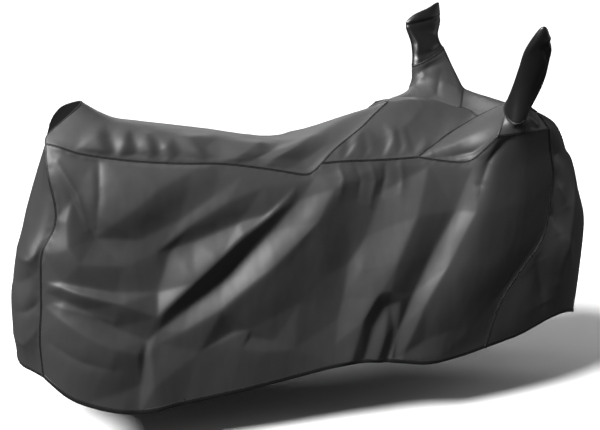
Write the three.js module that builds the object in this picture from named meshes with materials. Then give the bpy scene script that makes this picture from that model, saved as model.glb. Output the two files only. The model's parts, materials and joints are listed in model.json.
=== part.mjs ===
import * as THREE from 'three';

// A fitted cover of coated cloth: a wide skirt, a narrow top and two ear-shaped pockets.
// Sizes are in millimetres. X runs towards the nose, Y to the left side and Z up. In the tables a
// height is above the floor that the hem hangs over, and a half is a distance from the middle plane.

// Driving sizes.
const CLOTH = 2; // thickness of the sheet
const SEAM_GAP = 0.3; // how far two pieces stay apart along a seam
const PINCH_STEP = 2; // how many seam gaps a panel's point stays away from its corner
const HOLD_X = 480; // where the seat panel is held up from below
const SKIRT_STEPS = 22; // grid steps from belt seam to hem
const ACROSS_STEPS = 16; // grid steps from the right side to the left over the top
const GUSSET_STEPS = 3; // grid steps up the height of a gusset
const CORNER_STEP = 1; // the first of them, where the gusset's front edge meets the shoulder panel
const TIGHT_ROUNDS = 200; // how often a small panel's grid is evened out
const POCKET_ARC_STEPS = 8; // grid steps around half of a pocket's foot
const RIGHT = -1;
const LEFT = 1;

// The vertical seam at the tail corner, from the top down.
const REAR_SEAM = [
  { x: -240, half: 130, height: 952 },
  { x: -236, half: 172, height: 870 },
  { x: -216, half: 203, height: 760 },
  { x: -222, half: 212, height: 700 },
  { x: -262, half: 222, height: 635 },
  { x: -271, half: 232, height: 536 },
  { x: -275, half: 240, height: 450 },
  { x: -285, half: 246, height: 358 },
  { x: -282, half: 246, height: 228 },
];

// The belt seam between the seat panel and the skirt, from the tail forward, and the short notch where
// it climbs to the tank panel's corner.
const SEAT_BELT = {
  steps: 21,
  points: [
    { x: -240, half: 130, height: 952 },
    { x: -206, half: 148, height: 947 },
    { x: -151, half: 160, height: 925 },
    { x: -73, half: 166, height: 910 },
    { x: 15, half: 170, height: 896 },
    { x: 171, half: 176, height: 883 },
    { x: 314, half: 180, height: 878 },
    { x: 457, half: 188, height: 857 },
    { x: 591, half: 200, height: 832 },
  ],
};

const BELT_NOTCH = {
  steps: 1,
  points: [
    { x: 591, half: 200, height: 832 },
    { x: 634, half: 187, height: 871 },
  ],
};

// The seam between the tank panel and the skirt. On the left it climbs to the higher shoulder.
const TANK_BELT = {
  steps: 8,
  points: {
    [RIGHT]: [
      { x: 634, half: 187, height: 871 },
      { x: 706, half: 190, height: 876 },
      { x: 804, half: 192, height: 876 },
      { x: 900, half: 200, height: 880 },
      { x: 963, half: 208, height: 884 },
    ],
    [LEFT]: [
      { x: 634, half: 187, height: 871 },
      { x: 740, half: 190, height: 908 },
      { x: 850, half: 192, height: 975 },
      { x: 942, half: 196, height: 1042 },
    ],
  },
};

// The foot of the shoulder panel, on the right and on the left, where the left one stands higher.
const SHOULDER_FOOT = {
  steps: 8,
  points: {
    [RIGHT]: [
      { x: 963, half: 208, height: 884 },
      { x: 1051, half: 240, height: 872 },
      { x: 1121, half: 270, height: 872 },
      { x: 1160, half: 302, height: 915 },
      { x: 1191, half: 326, height: 962 },
    ],
    [LEFT]: [
      { x: 942, half: 196, height: 1042 },
      { x: 1005, half: 256, height: 1046 },
      { x: 1080, half: 312, height: 1044 },
      { x: 1150, half: 345, height: 1046 },
    ],
  },
};

// The seam under the gusset, from the shoulder forward to the front seam.
const GUSSET_FOOT = {
  steps: POCKET_ARC_STEPS,
  points: {
    [RIGHT]: [
      { x: 1191, half: 326, height: 962 },
      { x: 1295, half: 330, height: 972 },
      { x: 1391, half: 300, height: 978 },
    ],
    [LEFT]: [
      { x: 1150, half: 345, height: 1046 },
      { x: 1275, half: 350, height: 1024 },
      { x: 1391, half: 300, height: 978 },
    ],
  },
};

// The front seam, from the gusset down. It slants back under the nose.
const FRONT_SEAM = [
  { x: 1391, half: 300, height: 978 },
  { x: 1415, half: 274, height: 906 },
  { x: 1441, half: 262, height: 817 },
  { x: 1434, half: 262, height: 722 },
  { x: 1409, half: 270, height: 590 },
  { x: 1338, half: 285, height: 505 },
  { x: 1249, half: 300, height: 389 },
  { x: 1188, half: 312, height: 222 },
];

// The hem along the side, from the tail forward.
const SIDE_HEM = [
  { x: -282, half: 246, height: 228 },
  { x: -243, half: 290, height: 205 },
  { x: -201, half: 320, height: 178 },
  { x: -142, half: 342, height: 157 },
  { x: -64, half: 358, height: 136 },
  { x: 8, half: 360, height: 127 },
  { x: 139, half: 358, height: 143 },
  { x: 325, half: 350, height: 164 },
  { x: 532, half: 340, height: 194 },
  { x: 647, half: 340, height: 213 },
  { x: 737, half: 346, height: 218 },
  { x: 870, half: 338, height: 207 },
  { x: 971, half: 344, height: 195 },
  { x: 1096, half: 326, height: 205 },
  { x: 1188, half: 312, height: 222 },
];

// How the skirt falls between belt and hem: a low ease leaves the belt fast and then hangs straight.
const SIDE_FALL = [
  { along: 0, ease: 0.45, push: 0 },
  { along: 0.25, ease: 0.62, push: 8 },
  { along: 0.5, ease: 0.7, push: 16 },
  { along: 0.75, ease: 0.85, push: 22 },
  { along: 1, ease: 1, push: 6 },
];

// The gable over the tail hump, from the right corner to the left one. Y is signed here.
const GABLE = [
  { x: -240, y: -130, height: 952 },
  { x: -242, y: -112, height: 973 },
  { x: -215, y: -94, height: 998 },
  { x: -178, y: -72, height: 1027 },
  { x: -124, y: -30, height: 1074 },
  { x: -164, y: 50, height: 1066 },
  { x: -205, y: 90, height: 1047 },
  { x: -240, y: 102, height: 998 },
  { x: -240, y: 130, height: 952 },
];

// The middle line of the rear panel, from the gable down.
const TAIL_LINE = [
  { x: -140, height: 1072 },
  { x: -232, height: 985 },
  { x: -268, height: 905 },
  { x: -315, height: 763 },
  { x: -346, height: 640 },
  { x: -372, height: 560 },
  { x: -386, height: 470 },
  { x: -388, height: 350 },
  { x: -384, height: 228 },
];

// The hem at the tail and at the nose, from the right side to the left. Y is signed.
const TAIL_HEM = [
  { x: -282, y: -246, height: 228 },
  { x: -318, y: -190, height: 232 },
  { x: -362, y: -110, height: 226 },
  { x: -384, y: 0, height: 226 },
  { x: -362, y: 110, height: 226 },
  { x: -318, y: 190, height: 232 },
  { x: -282, y: 246, height: 228 },
];
const NOSE_HEM = [
  { x: 1188, y: -312, height: 222 },
  { x: 1342, y: -280, height: 246 },
  { x: 1478, y: -240, height: 285 },
  { x: 1590, y: -180, height: 284 },
  { x: 1672, y: -90, height: 240 },
  { x: 1704, y: 0, height: 222 },
  { x: 1672, y: 90, height: 236 },
  { x: 1590, y: 180, height: 262 },
  { x: 1478, y: 240, height: 268 },
  { x: 1342, y: 280, height: 246 },
  { x: 1188, y: 312, height: 222 },
];

// The crown of the seat panel, which dips over the seat.
const SEAT_CROWN = [
  { x: -140, height: 1072, round: 1.7 },
  { x: -108, height: 1062, round: 1.8 },
  { x: -78, height: 1026, round: 2.2 },
  { x: -50, height: 1014, round: 2.4 },
  { x: 19, height: 1008, round: 2.4 },
  { x: 121, height: 994, round: 2.4 },
  { x: 302, height: 970, round: 2.4 },
  { x: 414, height: 952, round: 2.3 },
  { x: 485, height: 942, round: 2.2 },
  { x: 550, height: 944, round: 2 },
  { x: 641, height: 962, round: 1.7 },
  { x: 703, height: 990, round: 1.4 },
  { x: 785, height: 1018, round: 1.2 },
  { x: 871, height: 1044, round: 1.1 },
  { x: 935, height: 1064, round: 1.1 },
];

// The slanted seam in front of the seat, from the right belt to the left. It points to the nose.
const SEAT_FRONT = [
  { x: 634, half: 187, height: 871 },
  { x: 675, half: 166, height: 909 },
  { x: 744, half: 140, height: 953 },
  { x: 792, half: 110, height: 977 },
  { x: 860, half: 58, height: 1022 },
  { x: 935, half: 0, height: 1064 },
];

// The crown of the tank panel and its front seam with the valley between the pockets.
const TANK_CROWN = [
  { x: 935, height: 1064, round: 1.1 },
  { x: 1000, height: 1068, round: 1.2 },
  { x: 1080, height: 1054, round: 1.5 },
  { x: 1170, height: 1036, round: 1.8 },
  { x: 1243, height: 1018, round: 2 },
];
const TANK_FRONT = [
  { x: 1222, y: -100, height: 1006 },
  { x: 1243, y: 0, height: 1018 },
  { x: 1252, y: 100, height: 1022 },
];

// The seam between the tank panel and a shoulder panel, then the ridge in front of the pocket's foot.
const SHOULDER_SEAM = {
  steps: 5,
  points: {
    [RIGHT]: [
      { x: 963, half: 208, height: 884 },
      { x: 1085, half: 160, height: 950 },
      { x: 1222, half: 100, height: 1006 },
    ],
    [LEFT]: [
      { x: 942, half: 196, height: 1042 },
      { x: 1090, half: 158, height: 1016 },
      { x: 1252, half: 100, height: 1022 },
    ],
  },
};
const SHOULDER_RIDGE = {
  steps: 3,
  points: {
    [RIGHT]: [
      { x: 1222, half: 100, height: 1006 },
      { x: 1262, half: 170, height: 1046 },
      { x: 1312, half: 228, height: 1078 },
      { x: 1342, half: 303, height: 1036 },
    ],
    [LEFT]: [
      { x: 1252, half: 100, height: 1022 },
      { x: 1308, half: 220, height: 1092 },
      { x: 1338, half: 290, height: 1106 },
      { x: 1352, half: 322, height: 1082 },
    ],
  },
};

// The middle line of the front panel: the valley between the pockets, the crest, and the nose.
const NOSE_LINE = [
  { x: 1243, height: 1018 },
  { x: 1285, height: 1030 },
  { x: 1316, height: 1064 },
  { x: 1372, height: 1050 },
  { x: 1430, height: 1028 },
  { x: 1480, height: 1002 },
];
const NOSE_FALL = [
  { x: 1480, height: 1002 },
  { x: 1528, height: 962 },
  { x: 1577, height: 888 },
  { x: 1612, height: 812 },
  { x: 1642, height: 740 },
  { x: 1682, height: 652 },
  { x: 1698, height: 541 },
  { x: 1704, height: 401 },
  { x: 1704, height: 222 },
];

// Sections of the two pockets from foot to tip. The middle is a point, wide runs along the section's
// long half and deep along its short half, towards the middle plane. Y is signed.
const POCKETS = {
  [RIGHT]: {
    tip: [1300, -395, 1311],
    sections: [
      { middle: [1264, -300, 1040], wide: [36, 0, 13], deep: [3, 48, 38] },
      { middle: [1289, -318, 1112], wide: [49, -8, 0], deep: [2, 30, 12] },
      { middle: [1298, -342, 1178], wide: [47, -9, -3], deep: [2, 25, 7] },
      { middle: [1300, -364, 1238], wide: [39, -8, -3], deep: [2, 20, 6] },
      { middle: [1299, -382, 1278], wide: [25, -5, -4], deep: [2, 13, 4] },
      { middle: [1299, -391, 1302], wide: [11, -2, -4], deep: [1, 6, 2] },
    ],
  },
  [LEFT]: {
    tip: [1243, 350, 1424],
    sections: [
      { middle: [1190, 300, 1211], wide: [68, 10, 38], deep: [4, -30, -8] },
      { middle: [1191, 325, 1262], wide: [60, 6, 10], deep: [3, -28, -2] },
      { middle: [1180, 338, 1305], wide: [66, 0, -5], deep: [2, -16, 4] },
      { middle: [1184, 344, 1342], wide: [78, 0, 8], deep: [2, -24, 4] },
      { middle: [1196, 348, 1378], wide: [62, 0, 10], deep: [2, -14, 4] },
      { middle: [1228, 350, 1408], wide: [26, 0, 12], deep: [1, -6, 2] },
    ],
  },
};

// Folds in the skirt. A path runs over the side in x and height, rise is how far the crest stands out
// (or, below zero, how deep the trough is), and upper and lower are the reach on each side of it.
const RIGHT_FOLDS = [
  { path: [[-235, 930], [-178, 804], [-115, 660]], rise: -26, upper: 40, lower: 40 },
  { path: [[-175, 925], [-120, 800], [-75, 700]], rise: 14, upper: 45, lower: 45 },
  { path: [[-95, 655], [70, 735], [230, 818]], rise: -26, upper: 45, lower: 60 },
  { path: [[-110, 640], [-34, 572], [70, 495]], rise: -20, upper: 40, lower: 45 },
  {
    path: [[85, 500], [112, 608], [150, 655], [250, 698], [345, 722], [430, 722]],
    rise: 24, upper: 45, lower: 34,
  },
  { path: [[140, 600], [235, 648], [345, 682], [440, 690]], rise: -18, upper: 28, lower: 40 },
  { path: [[570, 838], [465, 752], [363, 676], [226, 526], [73, 382]], rise: 26, upper: 45, lower: 28 },
  { path: [[640, 805], [440, 668], [285, 538], [97, 366]], rise: -30, upper: 32, lower: 45 },
  { path: [[775, 862], [643, 740], [476, 600], [348, 488], [145, 352]], rise: 30, upper: 55, lower: 70 },
  { path: [[-262, 560], [-162, 530], [-59, 510], [70, 486]], rise: 18, upper: 35, lower: 35 },
  { path: [[-262, 505], [-62, 432], [50, 355]], rise: -30, upper: 38, lower: 45 },
  { path: [[-240, 420], [-110, 350], [0, 290]], rise: 20, upper: 50, lower: 60 },
  { path: [[28, 330], [34, 100]], rise: 18, upper: 32, lower: 32 },
  { path: [[74, 340], [92, 100]], rise: -20, upper: 36, lower: 36 },
  { path: [[880, 870], [850, 800], [790, 680], [730, 560]], rise: 22, upper: 34, lower: 38 },
  { path: [[925, 860], [880, 740], [820, 610]], rise: -18, upper: 32, lower: 32 },
  { path: [[965, 860], [925, 700], [872, 560]], rise: 20, upper: 34, lower: 36 },
  { path: [[1008, 850], [985, 700], [920, 540], [880, 420]], rise: -22, upper: 34, lower: 34 },
  {
    path: [[1165, 930], [1094, 816], [1050, 693], [992, 593], [942, 485], [908, 372], [850, 190]],
    rise: 26, upper: 34, lower: 48,
  },
  { path: [[702, 575], [683, 440], [668, 350], [700, 180]], rise: 22, upper: 40, lower: 40 },
  { path: [[738, 190], [752, 330], [800, 430]], rise: -20, upper: 34, lower: 34 },
  { path: [[800, 180], [822, 380]], rise: 14, upper: 30, lower: 30 },
  { path: [[1290, 900], [1230, 640], [1110, 330]], rise: -16, upper: 90, lower: 90 },
];
const LEFT_FOLDS = [
  { path: [[-200, 920], [-120, 760], [-40, 620]], rise: -22, upper: 45, lower: 45 },
  { path: [[-40, 640], [130, 740], [300, 840]], rise: 20, upper: 50, lower: 50 },
  { path: [[560, 830], [400, 660], [220, 500], [60, 330]], rise: 26, upper: 45, lower: 35 },
  { path: [[640, 820], [480, 650], [310, 480], [150, 300]], rise: -26, upper: 38, lower: 48 },
  { path: [[760, 860], [640, 690], [520, 480], [430, 260]], rise: 26, upper: 55, lower: 60 },
  { path: [[-260, 540], [-100, 500], [60, 420]], rise: -24, upper: 42, lower: 45 },
  { path: [[-30, 380], [-10, 120]], rise: 18, upper: 38, lower: 38 },
  { path: [[900, 870], [840, 700], [790, 480], [760, 200]], rise: 22, upper: 38, lower: 42 },
  { path: [[985, 880], [950, 680], [900, 440], [880, 200]], rise: -22, upper: 38, lower: 40 },
  { path: [[1110, 920], [1060, 700], [1010, 450], [980, 200]], rise: 24, upper: 40, lower: 50 },
  { path: [[1270, 920], [1220, 640], [1120, 330]], rise: -16, upper: 80, lower: 80 },
];

// Folds of the tail hump and of the seat's right and left flank, in x and height.
const SEAT_FOLDS = [
  { path: [[-112, 1040], [-118, 900]], rise: 13, upper: 28, lower: 28 },
  { path: [[-78, 1000], [-80, 900]], rise: -9, upper: 22, lower: 22 },
  { path: [[-45, 985], [-48, 890]], rise: 10, upper: 26, lower: 26 },
  { path: [[30, 1000], [70, 950], [20, 890]], rise: -9, upper: 34, lower: 34 },
  { path: [[190, 960], [210, 885]], rise: 8, upper: 36, lower: 36 },
];
const NOSE_FOLDS = [
  { path: [[1390, 520], [1420, 420], [1440, 340]], rise: -16, upper: 40, lower: 40 },
  { path: [[1560, 860], [1530, 640], [1500, 420]], rise: 14, upper: 45, lower: 45 },
  { path: [[1460, 880], [1560, 885]], rise: -12, upper: 30, lower: 30 },
];
const TAIL_FOLDS = [
  { path: [[-290, 560], [-380, 500]], rise: -14, upper: 40, lower: 40 },
  { path: [[-300, 700], [-330, 420], [-340, 240]], rise: 10, upper: 40, lower: 40 },
];

const COATED_CLOTH = { color: 0x38383a, roughness: 0.42, metalness: 0 };
const COATED_CLOTH_TOP = { color: 0x47474a, roughness: 0.42, metalness: 0 };
const COATED_CLOTH_DARK = { color: 0x222224, roughness: 0.4, metalness: 0 };

const { clamp, lerp, smoothstep } = THREE.MathUtils;

// A row of a table becomes a point. A half is laid off to the side given.
function pointOf(row, side = RIGHT) {
  const y = row.half === undefined ? (row.y ?? 0) : side * row.half;
  return new THREE.Vector3(row.x, y, row.height);
}

// Points on a smooth curve through the rows. They are evenly spaced, unless a rush below 1 draws them
// towards its end.
function curvePoints(rows, steps, side, rush = 1) {
  const curve = new THREE.CatmullRomCurve3(rows.map((row) => pointOf(row, side)), false, 'centripetal');
  return Array.from({ length: steps + 1 }, (_, k) => curve.getPointAt((k / steps) ** rush));
}

// The value of a column between two rows of a table that is sorted by its key.
function between(rows, key, place, column) {
  let next = rows.findIndex((row) => row[key] >= place);
  if (next === -1) next = rows.length - 1;
  next = Math.max(next, 1);
  const [before, after] = [rows[next - 1], rows[next]];
  const share = clamp((place - before[key]) / (after[key] - before[key]), 0, 1);
  return lerp(before[column], after[column], share);
}

// Several runs of points joined end to end.
function join(...runs) {
  return runs.flatMap((run, index) => (index === 0 ? run : run.slice(1)));
}

// The cloth's thickness is laid off towards a slim core inside the hollow, which is the same
// direction for the two pieces that share a seam, so their edges never cross.
const CORE = [
  { x: -150, half: 0, high: 800 },
  { x: 850, half: 0, high: 760 },
  { x: 1180, half: 200, high: 900 },
  { x: 1300, half: 200, high: 900 },
  { x: 1440, half: 60, high: 760 },
];
const CORE_LOW = 350;
const CORE_SPREADS = { from: 600, to: 850 }; // the heights between which the core takes on its half width
// Each shoulder is a fin of its own, with a core of one point. It takes over above and beside the rest.
const FIN_CORE = {
  [RIGHT]: { x: 1235, half: 292, height: 950 },
  [LEFT]: { x: 1200, half: 310, height: 1000 },
};
const FIN_TAKES_OVER = { fromHeight: 900, toHeight: 1050, fromHalf: 185, toHalf: 235 };
function towardsCore(point) {
  const x = clamp(point.x, CORE[0].x, CORE[CORE.length - 1].x);
  const half = between(CORE, 'x', x, 'half') * smoothstep(point.z, CORE_SPREADS.from, CORE_SPREADS.to);
  const core = new THREE.Vector3(
    x,
    clamp(point.y, -half, half),
    clamp(point.z, CORE_LOW, between(CORE, 'x', x, 'high')),
  );
  const { fromHeight, toHeight, fromHalf, toHalf } = FIN_TAKES_OVER;
  const inFin = point.x > CORE[0].x ? smoothstep(point.z, fromHeight, toHeight) : 0;
  const side = point.y < 0 ? RIGHT : LEFT;
  core.lerp(pointOf(FIN_CORE[side], side), inFin * smoothstep(Math.abs(point.y), fromHalf, toHalf));
  return core.sub(point).normalize();
}

// A grid of points, of columns that each hold a column of points.
function makeGrid(columns, rows, pointAt) {
  return Array.from({ length: columns + 1 }, (_, i) =>
    Array.from({ length: rows + 1 }, (_, j) => pointAt(i, j, i / columns, j / rows)),
  );
}

// How fast the inside of a grid lets go of its edges: 1 is evenly, and a higher one is sooner.
const LET_GO = { gusset: 1, shoulder: 2, tank: 3, large: 4 };

// Moves a grid so that its edges lie on the seams given, and its inside follows, less with distance.
function fitEdges(grid, edges, letGo) {
  const columns = grid.length - 1;
  const rows = grid[0].length - 1;
  const moveBetween = (startError, endError, share, point) => {
    point.addScaledVector(startError, (1 - share) ** letGo);
    point.addScaledVector(endError, share ** letGo);
  };
  const first = grid.map((column, i) => edges.top[i].clone().sub(column[0]));
  const last = grid.map((column, i) => edges.bottom[i].clone().sub(column[rows]));
  grid.forEach((column, i) =>
    column.forEach((point, j) => moveBetween(first[i], last[i], j / rows, point)),
  );
  const start = grid[0].map((point, j) => edges.start[j].clone().sub(point));
  const end = grid[columns].map((point, j) => edges.end[j].clone().sub(point));
  grid.forEach((column, i) =>
    column.forEach((point, j) => moveBetween(start[j], end[j], i / columns, point)),
  );
  return grid;
}

// Draws the inside of a small grid tight between its edges, like a film. Each point is weighed by how
// wide its cells are, which keeps the cells from folding over beside a hollow edge.
function drawTight(grid) {
  for (let round = 0; round < TIGHT_ROUNDS; round++) {
    for (let i = 1; i < grid.length - 1; i++) {
      for (let j = 1; j < grid[0].length - 1; j++) {
        const across = grid[i + 1][j].clone().sub(grid[i - 1][j]);
        const down = grid[i][j + 1].clone().sub(grid[i][j - 1]);
        const [wide, high, slant] = [across.lengthSq(), down.lengthSq(), across.dot(down)];
        const corners = new THREE.Vector3()
          .add(grid[i + 1][j + 1]).sub(grid[i + 1][j - 1])
          .sub(grid[i - 1][j + 1]).add(grid[i - 1][j - 1]);
        grid[i][j]
          .addVectors(grid[i + 1][j], grid[i - 1][j]).multiplyScalar(high)
          .addScaledVector(grid[i][j + 1], wide).addScaledVector(grid[i][j - 1], wide)
          .addScaledVector(corners, -slant / 2)
          .divideScalar(2 * (wide + high));
      }
    }
  }
}

// The grid's own normals, turned away from the core.
function gridNormals(grid) {
  const at = (i, j) => grid[clamp(i, 0, grid.length - 1)][clamp(j, 0, grid[0].length - 1)];
  return grid.map((column, i) =>
    column.map((point, j) => {
      const along = at(i + 1, j).clone().sub(at(i - 1, j));
      const down = at(i, j + 1).clone().sub(at(i, j - 1));
      const normal = along.cross(down).normalize();
      return normal.dot(towardsCore(point)) > 0 ? normal.negate() : normal;
    }),
  );
}

const FOLD_END = 0.35; // the share of its rise that a fold still has at its ends
const FOLD_FLAT = 0.06; // the share of its path at each end over which it stays so

// How far one fold lifts a place on the side, from the nearest stretch of its path.
function foldLift(fold, x, height) {
  let nearest = { distance: Infinity };
  const stretches = fold.path.length - 1;
  for (let k = 0; k < stretches; k++) {
    const [[ax, az], [bx, bz]] = [fold.path[k], fold.path[k + 1]];
    const length = Math.hypot(bx - ax, bz - az);
    const share = clamp(((x - ax) * (bx - ax) + (height - az) * (bz - az)) / length ** 2, 0, 1);
    const distance = Math.hypot(x - lerp(ax, bx, share), height - lerp(az, bz, share));
    const side = Math.sign((bx - ax) * (height - az) - (bz - az) * (x - ax)) * Math.sign(bx - ax || 1);
    if (distance < nearest.distance) nearest = { distance, side, along: (k + share) / stretches };
  }
  const reach = nearest.side > 0 ? fold.upper : fold.lower;
  const along = clamp(nearest.along, FOLD_FLAT, 1 - FOLD_FLAT);
  const share = lerp(FOLD_END, 1, Math.sin(Math.PI * along));
  return fold.rise * share * Math.exp(-((nearest.distance / reach) ** 2));
}

// Lays the folds into a grid. They die out towards a sewn edge and run on to a free hem.
const SEAM_FADE = 45;
function layFolds(grid, folds, freeHem, side = RIGHT) {
  const normals = gridNormals(grid);
  const [columns, rows] = [grid.length - 1, grid[0].length - 1];
  const lifts = grid.map((column, i) =>
    column.map((point, j) => {
      if (side * point.y < 0) return 0;
      const edges = [column[0], grid[0][j], grid[columns][j]];
      if (!freeHem) edges.push(column[rows]);
      const room = Math.min(...edges.map((edge) => edge.distanceTo(point)));
      const lift = folds.reduce((sum, fold) => sum + foldLift(fold, point.x, point.z), 0);
      return lift * smoothstep(room, 0, SEAM_FADE);
    }),
  );
  grid.forEach((column, i) =>
    column.forEach((point, j) => point.addScaledVector(normals[i][j], lifts[i][j])),
  );
  return grid;
}

// A closed sheet from a grid of its outer points. Sewn edges step back by half the seam gap. With
// pinched set, the whole first column is one point.
function sheetGeometry(grid, { freeHem = false, pinched = false } = {}) {
  const [columns, rows] = [grid.length - 1, grid[0].length - 1];
  const lastSewnRow = freeHem ? rows : rows - 1;
  const outer = grid.map((column, i) =>
    column.map((point, j) => {
      const [inI, inJ] = [clamp(i, 1, columns - 1), clamp(j, 1, lastSewnRow)];
      const atPoint = pinched && i === 0;
      const inward = atPoint ? grid[1][Math.round(rows / 2)] : grid[inI][inJ];
      const corner = inI !== i && inJ !== j;
      const step = (atPoint ? PINCH_STEP : corner ? Math.SQRT1_2 : 0.5) * SEAM_GAP;
      return inward.clone().sub(point).setLength(step).add(point);
    }),
  );
  const inner = grid.map((column, i) =>
    column.map((point, j) => outer[i][j].clone().addScaledVector(towardsCore(point), CLOTH)),
  );
  const points = [...outer.flat(), ...inner.flat()];
  const normals = gridNormals(grid).flat();
  const layer = (columns + 1) * (rows + 1);
  const index = (i, j) => (pinched && i === 0 ? 0 : i * (rows + 1) + j);
  const triangles = [];
  const addQuad = (a, b, c, d) => {
    for (const corners of [[a, b, c], [a, c, d]]) {
      if (new Set(corners).size === 3) triangles.push(...corners);
    }
  };
  for (let i = 0; i < columns; i++) {
    for (let j = 0; j < rows; j++) {
      const [a, b, c, d] = [index(i, j), index(i + 1, j), index(i + 1, j + 1), index(i, j + 1)];
      // The slant that runs along a fold joins the two corners whose normals are most alike.
      if (normals[a].dot(normals[c]) >= normals[b].dot(normals[d])) {
        addQuad(a, b, c, d);
        addQuad(layer + a, layer + d, layer + c, layer + b);
      } else {
        addQuad(b, c, d, a);
        addQuad(layer + b, layer + a, layer + d, layer + c);
      }
    }
  }
  const rim = [];
  for (let i = 0; i < columns; i++) rim.push([index(i, 0), index(i + 1, 0)]);
  for (let j = 0; j < rows; j++) rim.push([index(columns, j), index(columns, j + 1)]);
  for (let i = columns; i > 0; i--) rim.push([index(i, rows), index(i - 1, rows)]);
  for (let j = rows; j > 0; j--) rim.push([index(0, j), index(0, j - 1)]);
  for (const [a, b] of rim) {
    if (a === b) continue;
    // Both pieces at a seam split its wall along the shorter slant, so the walls stay apart.
    const wall = [b, a, layer + a, layer + b];
    const slant = points[wall[0]].distanceTo(points[wall[2]]);
    if (slant > points[wall[1]].distanceTo(points[wall[3]])) wall.push(wall.shift());
    addQuad(...wall);
  }
  return closedGeometry(points, triangles);
}

// A geometry from points and triangles, turned so that its faces point out.
function closedGeometry(points, triangles) {
  const volume = triangles.reduce((sum, _, k) => {
    if (k % 3) return sum;
    const [a, b, c] = triangles.slice(k, k + 3).map((n) => points[n]);
    return sum + a.dot(b.clone().cross(c));
  }, 0);
  if (volume < 0) triangles.reverse();
  const geometry = new THREE.BufferGeometry().setFromPoints(points);
  geometry.setIndex(triangles);
  geometry.computeVertexNormals();
  return geometry;
}

// The seams and hems that neighbouring pieces share, sampled once for each side.
function sideSeams(side) {
  return {
    rear: curvePoints(REAR_SEAM, SKIRT_STEPS, side),
    seatBelt: join(
      curvePoints(SEAT_BELT.points, SEAT_BELT.steps, side),
      curvePoints(BELT_NOTCH.points, BELT_NOTCH.steps, side),
    ),
    tankBelt: curvePoints(TANK_BELT.points[side], TANK_BELT.steps, side),
    shoulderFoot: curvePoints(SHOULDER_FOOT.points[side], SHOULDER_FOOT.steps, side),
    gussetFoot: curvePoints(GUSSET_FOOT.points[side], GUSSET_FOOT.steps, side),
    shoulderSeam: curvePoints(SHOULDER_SEAM.points[side], SHOULDER_SEAM.steps, side),
    shoulderRidge: curvePoints(SHOULDER_RIDGE.points[side], SHOULDER_RIDGE.steps, side),
    front: curvePoints(FRONT_SEAM, SKIRT_STEPS, side),
    ...pocketFoot(side),
  };
}

// A point on a pocket's section. Turn 0 is its front edge, a half turn its rear edge, and the
// quarter turn between them faces the middle plane.
function onSection(section, turn, trim = 0) {
  const wide = new THREE.Vector3(...section.wide);
  const deep = new THREE.Vector3(...section.deep);
  wide.setLength(wide.length() - trim);
  deep.setLength(deep.length() - trim);
  return new THREE.Vector3(...section.middle)
    .addScaledVector(wide, Math.cos(turn))
    .addScaledVector(deep, Math.sin(turn));
}

// The two halves of a pocket's foot, and the gusset's rear and front edge.
function pocketFoot(side) {
  const foot = POCKETS[side].sections[0];
  const half = (sign) =>
    Array.from({ length: POCKET_ARC_STEPS + 1 }, (_, k) =>
      onSection(foot, Math.PI * (1 - (sign * k) / POCKET_ARC_STEPS)),
    );
  const inner = half(1);
  const outer = half(-1);
  const shoulderCorner = pointOf(GUSSET_FOOT.points[side][0], side);
  const frontCorner = pointOf(FRONT_SEAM[0], side);
  const straight = (from, to, steps) =>
    Array.from({ length: steps + 1 }, (_, k) => from.clone().lerp(to, k / steps));
  const ridge = SHOULDER_RIDGE.points[side];
  const ridgeEnd = pointOf(ridge[ridge.length - 1], side);
  return {
    footInner: inner,
    footOuter: outer,
    gussetRear: straight(shoulderCorner, inner[0], GUSSET_STEPS),
    pocketToRidge: straight(inner[POCKET_ARC_STEPS], ridgeEnd, CORNER_STEP),
    ridgeToFront: straight(ridgeEnd, frontCorner, GUSSET_STEPS - CORNER_STEP),
  };
}

const seams = { [RIGHT]: sideSeams(RIGHT), [LEFT]: sideSeams(LEFT) };
const gable = curvePoints(GABLE, ACROSS_STEPS);
const tailHem = curvePoints(TAIL_HEM, ACROSS_STEPS);
const noseHem = curvePoints(NOSE_HEM, ACROSS_STEPS);
const tankFront = curvePoints(TANK_FRONT, ACROSS_STEPS);
const seatFrontRight = curvePoints(SEAT_FRONT, ACROSS_STEPS / 2, RIGHT);
const seatFrontLeft = curvePoints(SEAT_FRONT, ACROSS_STEPS / 2, LEFT);
const seatFront = join(seatFrontRight, [...seatFrontLeft].reverse());

// The skirt along one side.
function sidePanel(side, folds) {
  const { seatBelt, tankBelt, shoulderFoot, gussetFoot, rear, front } = seams[side];
  const top = join(seatBelt, tankBelt, shoulderFoot, gussetFoot);
  const hem = curvePoints(SIDE_HEM, top.length - 1, side);
  const grid = makeGrid(top.length - 1, SKIRT_STEPS, (i, j, along, down) => {
    const point = top[i].clone().lerp(hem[i], down);
    const ease = between(SIDE_FALL, 'along', along, 'ease');
    const push = between(SIDE_FALL, 'along', along, 'push');
    const half = lerp(Math.abs(top[i].y), Math.abs(hem[i].y), down ** ease);
    point.y = side * (half + push * Math.sin(Math.PI * down));
    return point;
  });
  fitEdges(grid, { top, bottom: hem, start: rear, end: front }, LET_GO.large);
  layFolds(grid, folds, true, side);
  return sheetGeometry(grid, { freeHem: true });
}

// A point on a line that runs from one side to the other through a middle point. A round of 1 is a
// tent and 2 an arch, and the points are spaced evenly along either.
function overTheMiddle(right, left, middle, across, round) {
  const reach = lerp(1 - 2 * across, Math.cos(Math.PI * across), clamp(round - 1, 0, 1));
  const halfway = right.clone().lerp(left, 0.5);
  const lift = (1 - Math.abs(reach) ** round) ** (1 / round);
  return right.clone().lerp(left, (1 - reach) / 2).addScaledVector(middle.clone().sub(halfway), lift);
}

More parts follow.
